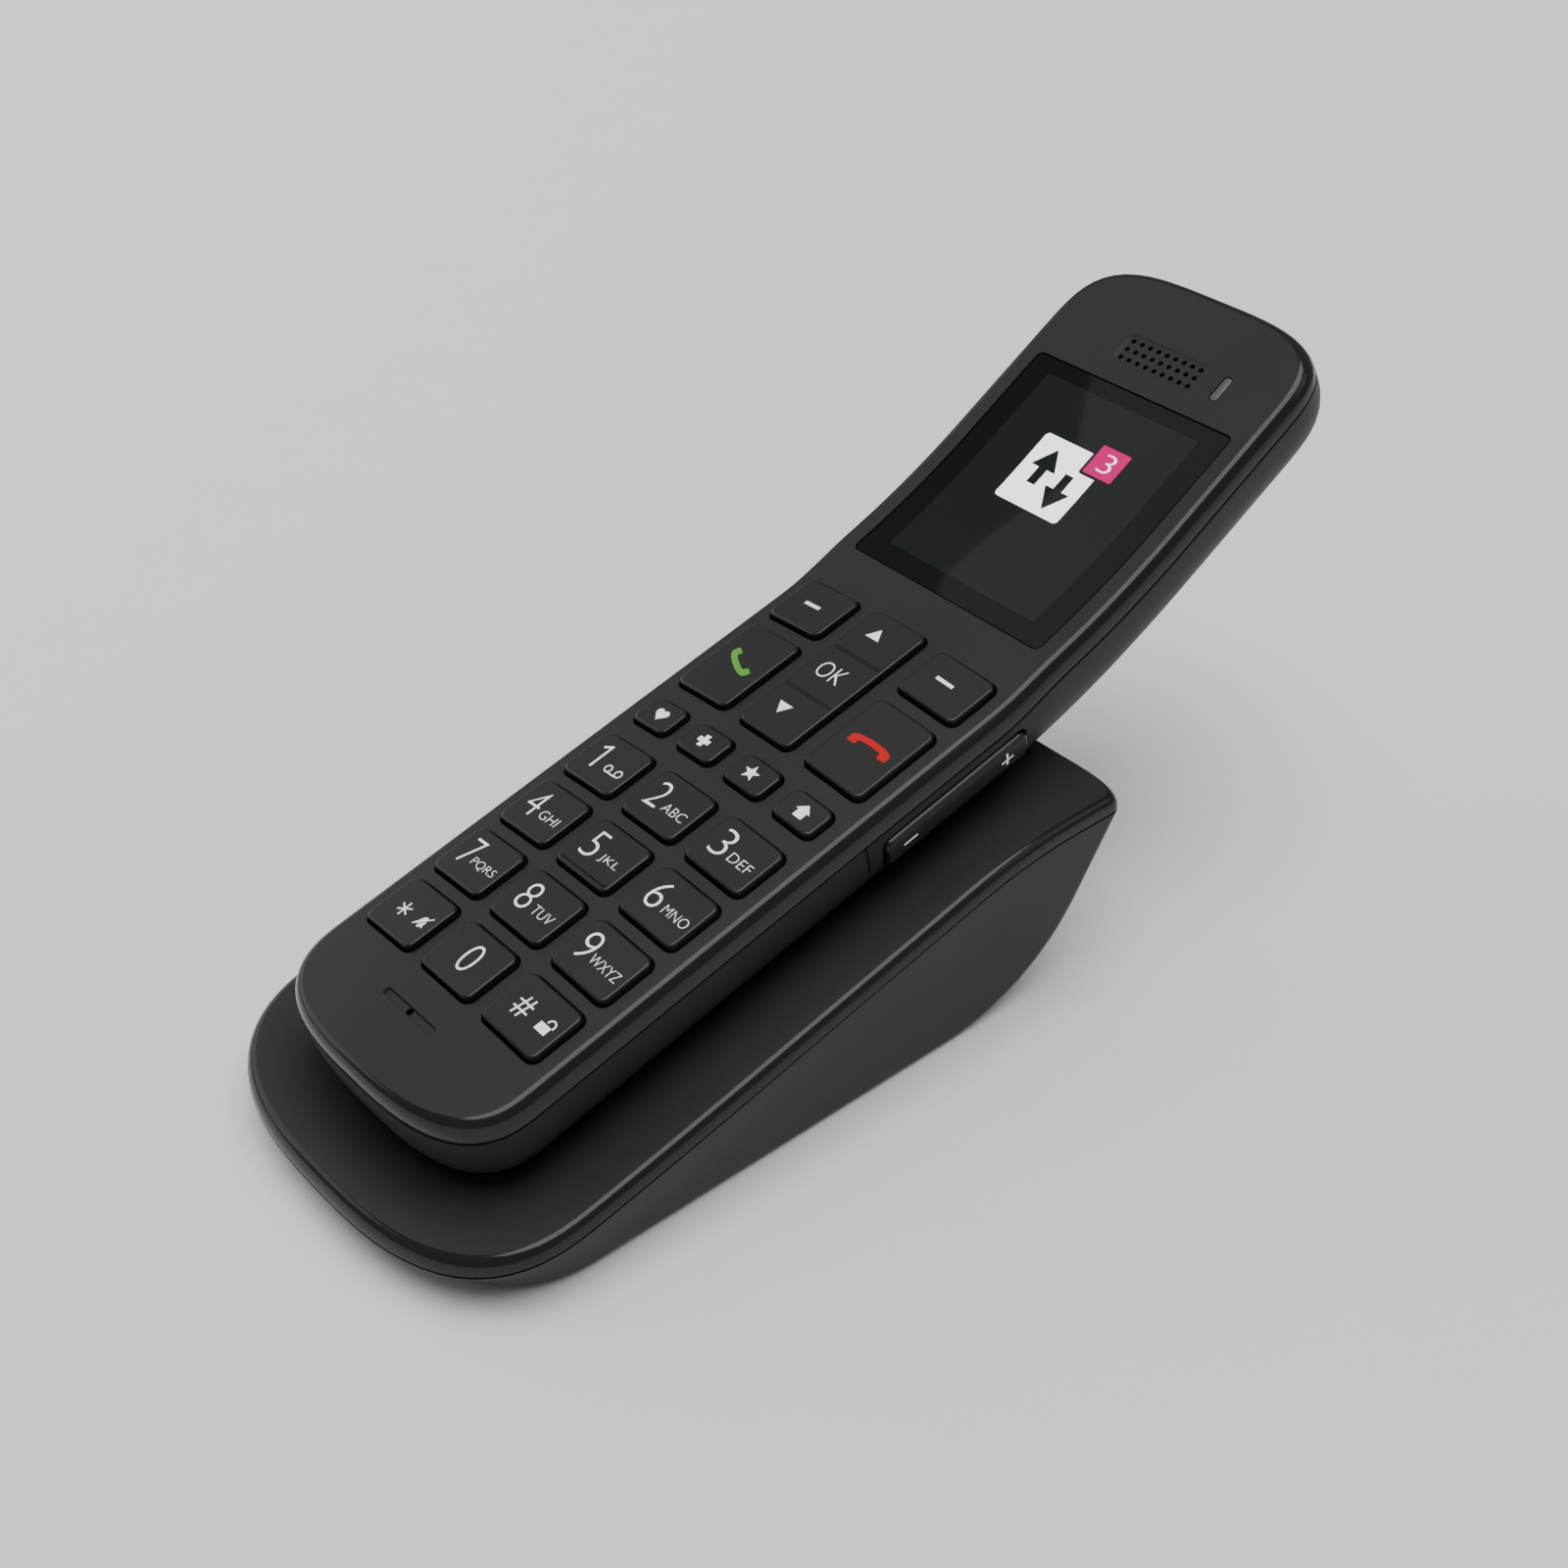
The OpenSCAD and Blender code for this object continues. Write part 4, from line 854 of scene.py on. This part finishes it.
def seam_line(y):
    """The seam's tilted part, with a little rise towards the front."""
    rise = FRONT_RISE * max(0, 1 - y / FRONT_RISE_LEN) ** 2
    return SEAT_Z - SEAM_DROP / math.cos(TILT) + (y - SEAT_Y) * math.tan(TILT) + rise


def seam_z(y):
    """Height of the seam between the base's shells: tilted, and level at the rear."""
    t = clamp(0.5 + 0.5 * (REAR_SEAM - seam_line(y)) / REAR_BLEND, 0, 1)
    return mix(REAR_SEAM, seam_line(y), t) - REAR_BLEND * t * (1 - t)


def dish_floor(y):
    """Height of the dish's middle line, a gap below the handset's back."""
    return SEAT_Z - (SEAM + BACK + DISH_GAP) / math.cos(TILT) + (y - SEAT_Y) * math.tan(TILT)


def base_outline(inset):
    rear = (BASE_REAR[0] - inset / 2, BASE_REAR[1] - inset / 2)
    return half_outline(BASE_HALF - inset, inset, BASE_LEN - inset, (BASE_HALF - inset, BASE_FRONT - inset),
                        rear, (BASE_POW, BASE_POW), 48, 20, True)


def rim_ring(inset, dz):
    return ring_of(base_outline(inset), lambda x, y: seam_z(y) + dz)


def dish_ring(f, inset, dz):
    """A ring of the base's upper face: f is 1 at the rim and 0 on the middle line of the dish."""
    ring = []
    for x, y in base_outline(inset):
        near = x / (BASE_HALF - inset) * f if y > DISH_MIDS[1] else f
        deep = mix(clamp(y, *DISH_MIDS), y, f)
        rim = seam_z(deep) + RIM_H
        ring.append((x * f, deep, rim - max(0, rim - dish_floor(deep)) * smooth((1 - near) / DISH_EDGE) + dz))
    left = [(-x, y, z) for x, y, z in ring[-2:0:-1]]
    return ring + left


DISH = (0.03, 0.12, 0.25, 0.38, 0.46, 0.52, 0.58, 0.64, 0.7, 0.75, 0.8, 0.85, 0.9, 0.95, 0.985)
PIN_X = 7.0
pin_low, pin_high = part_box("charge_pin_left")
PIN_Y = (pin_low.y + pin_high.y) / 2 / MM - FRONT
rings = [dish_ring(f, RIM_IN, GAP / 2) for f in DISH]
for q in (90, 80, 70, 58, 46, 34, 22, 10, 0):
    a = math.radians(q)
    step = 0.05 if q == 0 else 0
    rings.append(rim_ring(RIM_IN * (1 - math.cos(a)), RIM_H * math.sin(a) + GAP / 2 + step))
rings += [rim_ring(0.1, GAP / 2), rim_ring(BASE_WALL, GAP / 2), rim_ring(BASE_WALL + 0.4, RIM_H - BASE_WALL)]
rings += [dish_ring(f * 0.985, BASE_WALL + 0.4, -BASE_WALL) for f in DISH[::-1]]
solid = loft(rings, [0] * len(DISH) + [1] * 9 + [2] * (2 + len(DISH)), (0, 2))
tray = make("base_top_look", *solid[:2], HAND, solid[2])
cut(tray, join(*[lathe(side * PIN_X, PIN_Y, [(1.3, 0), (1.3, 60)], 32, 2) for side in (-1, 1)]))
piece("base_top_look", tray, HAND, "base", ["base_top_shell"], placed)

STERN_SLOPE, STERN_R = math.radians(70.4), 23.0
STRAIGHT = REAR_SEAM - BOTTOM - STERN_R * (1 - math.cos(STERN_SLOPE))
STERN_FOOT = BASE_LEN - STRAIGHT / math.tan(STERN_SLOPE) - STERN_R * math.sin(STERN_SLOPE)


def lower_ring(q, wall, lip=0.0):
    """A level of the base's lower shell: q is 0 at the seam and 1 at the bottom."""
    draft = SIDE_DRAFT * q + FOOT_ROUND * (1 - math.sqrt(max(0, 1 - (max(0, q - 0.7) / 0.3) ** 2)))
    inset, z = draft + wall, mix(REAR_SEAM, BOTTOM, q)
    if z > REAR_SEAM - STRAIGHT:
        rear_y = BASE_LEN - (REAR_SEAM - z) / math.tan(STERN_SLOPE)
    else:
        rear_y = STERN_FOOT + math.sqrt(max(0, STERN_R ** 2 - (BOTTOM + STERN_R - z) ** 2))
    corner = tuple(r + CORNER_GROWTH * q for r in BASE_REAR)
    ring = half_outline(BASE_HALF - inset - lip, 2 * draft + wall + lip, rear_y - wall * 1.2 - lip,
                        (BASE_HALF - inset - lip, BASE_FRONT - inset), corner,
                        (BASE_POW, BASE_POW), 48, 20, True)
    right = [(x, y, mix(seam_z(sy) - GAP / 2, BOTTOM + wall, q))
             for (x, y), (_, sy) in zip(ring, base_outline(0))]
    return right + [(-x, y, z) for x, y, z in right[-2:0:-1]]


LOWER = (0.004, 0.1, 0.2, 0.3, 0.4, 0.5, 0.6, 0.68, 0.76, 0.83, 0.89, 0.94, 0.975, 0.993, 1)
rings = [lower_ring(q, BASE_WALL) for q in LOWER[::-1]] + [lower_ring(0, 0, 0.12)]
rings += [lower_ring(q, 0) for q in LOWER]
solid = loft(rings, [2] * len(LOWER) + [0] * len(LOWER), (2, 0))
tub = make("base_bottom_look", *solid[:2], HAND, solid[2])
FOOT_X, FOOT_Y, SCREW_X, SCREW_Y = 22, (20, 74), 22, (30, 84)
socket_low, socket_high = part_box("power_socket")
SOCKET = (socket_low.y / MM - FRONT, socket_high.y / MM - FRONT, socket_low.z / MM, socket_high.z / MM)
feet_at = [(side * FOOT_X, y) for side in (-1, 1) for y in FOOT_Y]
screws_at = [(side * SCREW_X, y) for side in (-1, 1) for y in SCREW_Y]
foot_pocket = [(4.7, -1), (4.7, BOTTOM), (4.55, BOTTOM + 0.2), (4.55, 1.7)]
screw_pocket = [(3.0, -1), (3.0, BOTTOM), (2.8, BOTTOM + 0.2), (2.8, 2.45)]
cut(tub, join(*[lathe(x, y, foot_pocket, 48, 2) for x, y in feet_at],
              *[lathe(x, y, screw_pocket, 40, 2) for x, y in screws_at],
              box(-6.2, 6.2, SOCKET[0], SOCKET[1] + 20, SOCKET[2] - 0.2, SOCKET[3] + 0.2, 2)))
piece("base_bottom_look", tub, HAND, "base", ["base_bottom_shell"], placed)

# --- base fittings -------------------------------------------------------------------------

foot = [(4.45, 1.68), (4.45, 0.35), (4.33, 0.12), (4.05, 0.0), (3.3, 0.0), (3.15, 0.25),
        (2.75, 0.25), (2.6, 0.0)]
feet = join(*[lathe(x, y, foot[::-1], 48) for x, y in feet_at])
piece("base_feet_look", feet, [RUBBER], "base", ["base_feet"], placed)


def screw(x, y):
    """A countersunk cross-head screw, head down."""
    z = BOTTOM + 0.2
    head = [(1.25, z + 8), (1.25, z + 1.3), (2.58, z + 1.3), (2.6, z + 0.35), (2.35, z + 0.1), (1.6, z)]
    return lathe(x, y, head[::-1], 40)


screws = join(*[screw(x, y) for x, y in screws_at])
screws = make("base_screws_look", *screws[:2], [STEEL])
for u, v in ((1.3, 0.28), (0.28, 1.3)):
    cut(screws, join(*[box(x - u, x + u, y - v, y + v, 0, BOTTOM + 0.95) for x, y in screws_at]))
piece("base_screws_look", screws, [STEEL], "base", ["base_screws"], placed)

y0, y1, z0, z1 = SOCKET
INLET_SLOPE = math.radians(66)
low_y = y1 - (z1 - z0) / math.tan(INLET_SLOPE)
outer = side_block([(y0, z0), (low_y, z0), (y1, z1), (y0, z1)], -6, 6, 0)
inlet = make("power_socket_look", *outer[:2], [INNER_SHADE, GOLD], outer[2])
cut(inlet, join(box(-4.8, 4.8, y0 + 2, y1 + 9, z0 + 1.2, z1 - 1.9),
                box(-1.6, 1.6, y0 + 6, y1 + 9, z1 - 2.0, z1 - 1.0)))
leads = [box(x - 0.25, x + 0.25, y0 + 2.0, low_y - 1.5, z0 + 1.25, z0 + 1.75, 1)
         for x in (-2.55, -0.85, 0.85, 2.55)]
cut(inlet, join(*leads), "UNION")
piece("power_socket_look", inlet, [INNER_SHADE, GOLD], "base", ["power_socket"], placed)

foot_z, tip_z = pin_low.z / MM, pin_high.z / MM
pin = [(1.5, foot_z), (1.78, foot_z + 0.15), (1.78, foot_z + 0.85), (1.5, foot_z + 1.0),
       (0.95, foot_z + 1.02), (0.95, tip_z - 1.0)]
pin += [(0.98 * math.cos(math.radians(a)), tip_z - 1.0 + math.sin(math.radians(a)) * 0.99)
        for a in (5, 20, 35, 50, 65, 78, 86)]
for side, name in ((-1, "left"), (1, "right")):
    piece("charge_pin_%s_look" % name, lathe(side * PIN_X, PIN_Y, pin), [GOLD], "pin_" + name,
          ["charge_pin_" + name], placed)

# --- camera, floor and light ---------------------------------------------------------------

# The camera was fitted to the keys, the display and the grille in the photograph.
CAM_AZ, CAM_EL = math.radians(49.04), math.radians(36.16)
cam_data = bpy.data.cameras.new("camera")
cam_data.lens, cam_data.sensor_width = 51.62, 36
camera = bpy.data.objects.new("camera", cam_data)
camera.location = placed((198.5, -90.05, 225.3))
camera.rotation_euler = (math.pi / 2 - CAM_EL, 0, CAM_AZ)
cam_data.clip_start = 0.01
bpy.context.scene.collection.objects.link(camera)
bpy.context.scene.camera = camera

floor = make("floor", [(-3, -3, 0), (3, -3, 0), (3, 3, 0), (-3, 3, 0)], [(0, 1, 2, 3)],
             [material("floor_pale", (0.86, 0.86, 0.86), 0.9, grain=300, bump=0.0, mottle=0.01)])
floor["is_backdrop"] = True

world = bpy.data.worlds.new("studio")
world.use_nodes = True
world.node_tree.nodes["Background"].inputs["Color"].default_value = (1, 1, 1, 1)
world.node_tree.nodes["Background"].inputs["Strength"].default_value = 0.22
bpy.context.scene.world = world


def high_light(name, toward, spread, strength):
    """Wide, even light from far off in the direction given."""
    data = bpy.data.lights.new(name, "SUN")
    data.energy, data.angle = strength, math.radians(spread)
    lamp = bpy.data.objects.new(name, data)
    lamp.rotation_euler = Vector(toward).to_track_quat("Z", "Y").to_euler()
    bpy.context.scene.collection.objects.link(lamp)


def softbox(name, at, aim, width, height, power, turn=0):
    """A rectangular panel that faces aim, or faces straight down with its sides turned."""
    data = bpy.data.lights.new(name, "AREA")
    data.shape, data.size, data.size_y, data.energy = "RECTANGLE", width, height, power
    lamp = bpy.data.objects.new(name, data)
    lamp.location = at
    lamp.rotation_euler = (Vector(aim) - Vector(at)).to_track_quat("-Z", "Y").to_euler()
    if turn:
        lamp.rotation_euler = (0, 0, math.radians(turn))
    bpy.context.scene.collection.objects.link(lamp)


high_light("overhead", (0.15, -0.02, 1), 52, 2.75)
high_light("right_rear", (0.59, 0.50, 0.61), 30, 0.15)
softbox("left_strip", (-0.98, -0.36, 0.56), (0, 0, 0.03), 1.2, 0.8, 4.2)
softbox("ceiling_panel", (-0.471, 0.118, 0.9), (-0.471, 0.118, 0), 0.32, 0.6, 0.2, 14.7)

low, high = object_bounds()
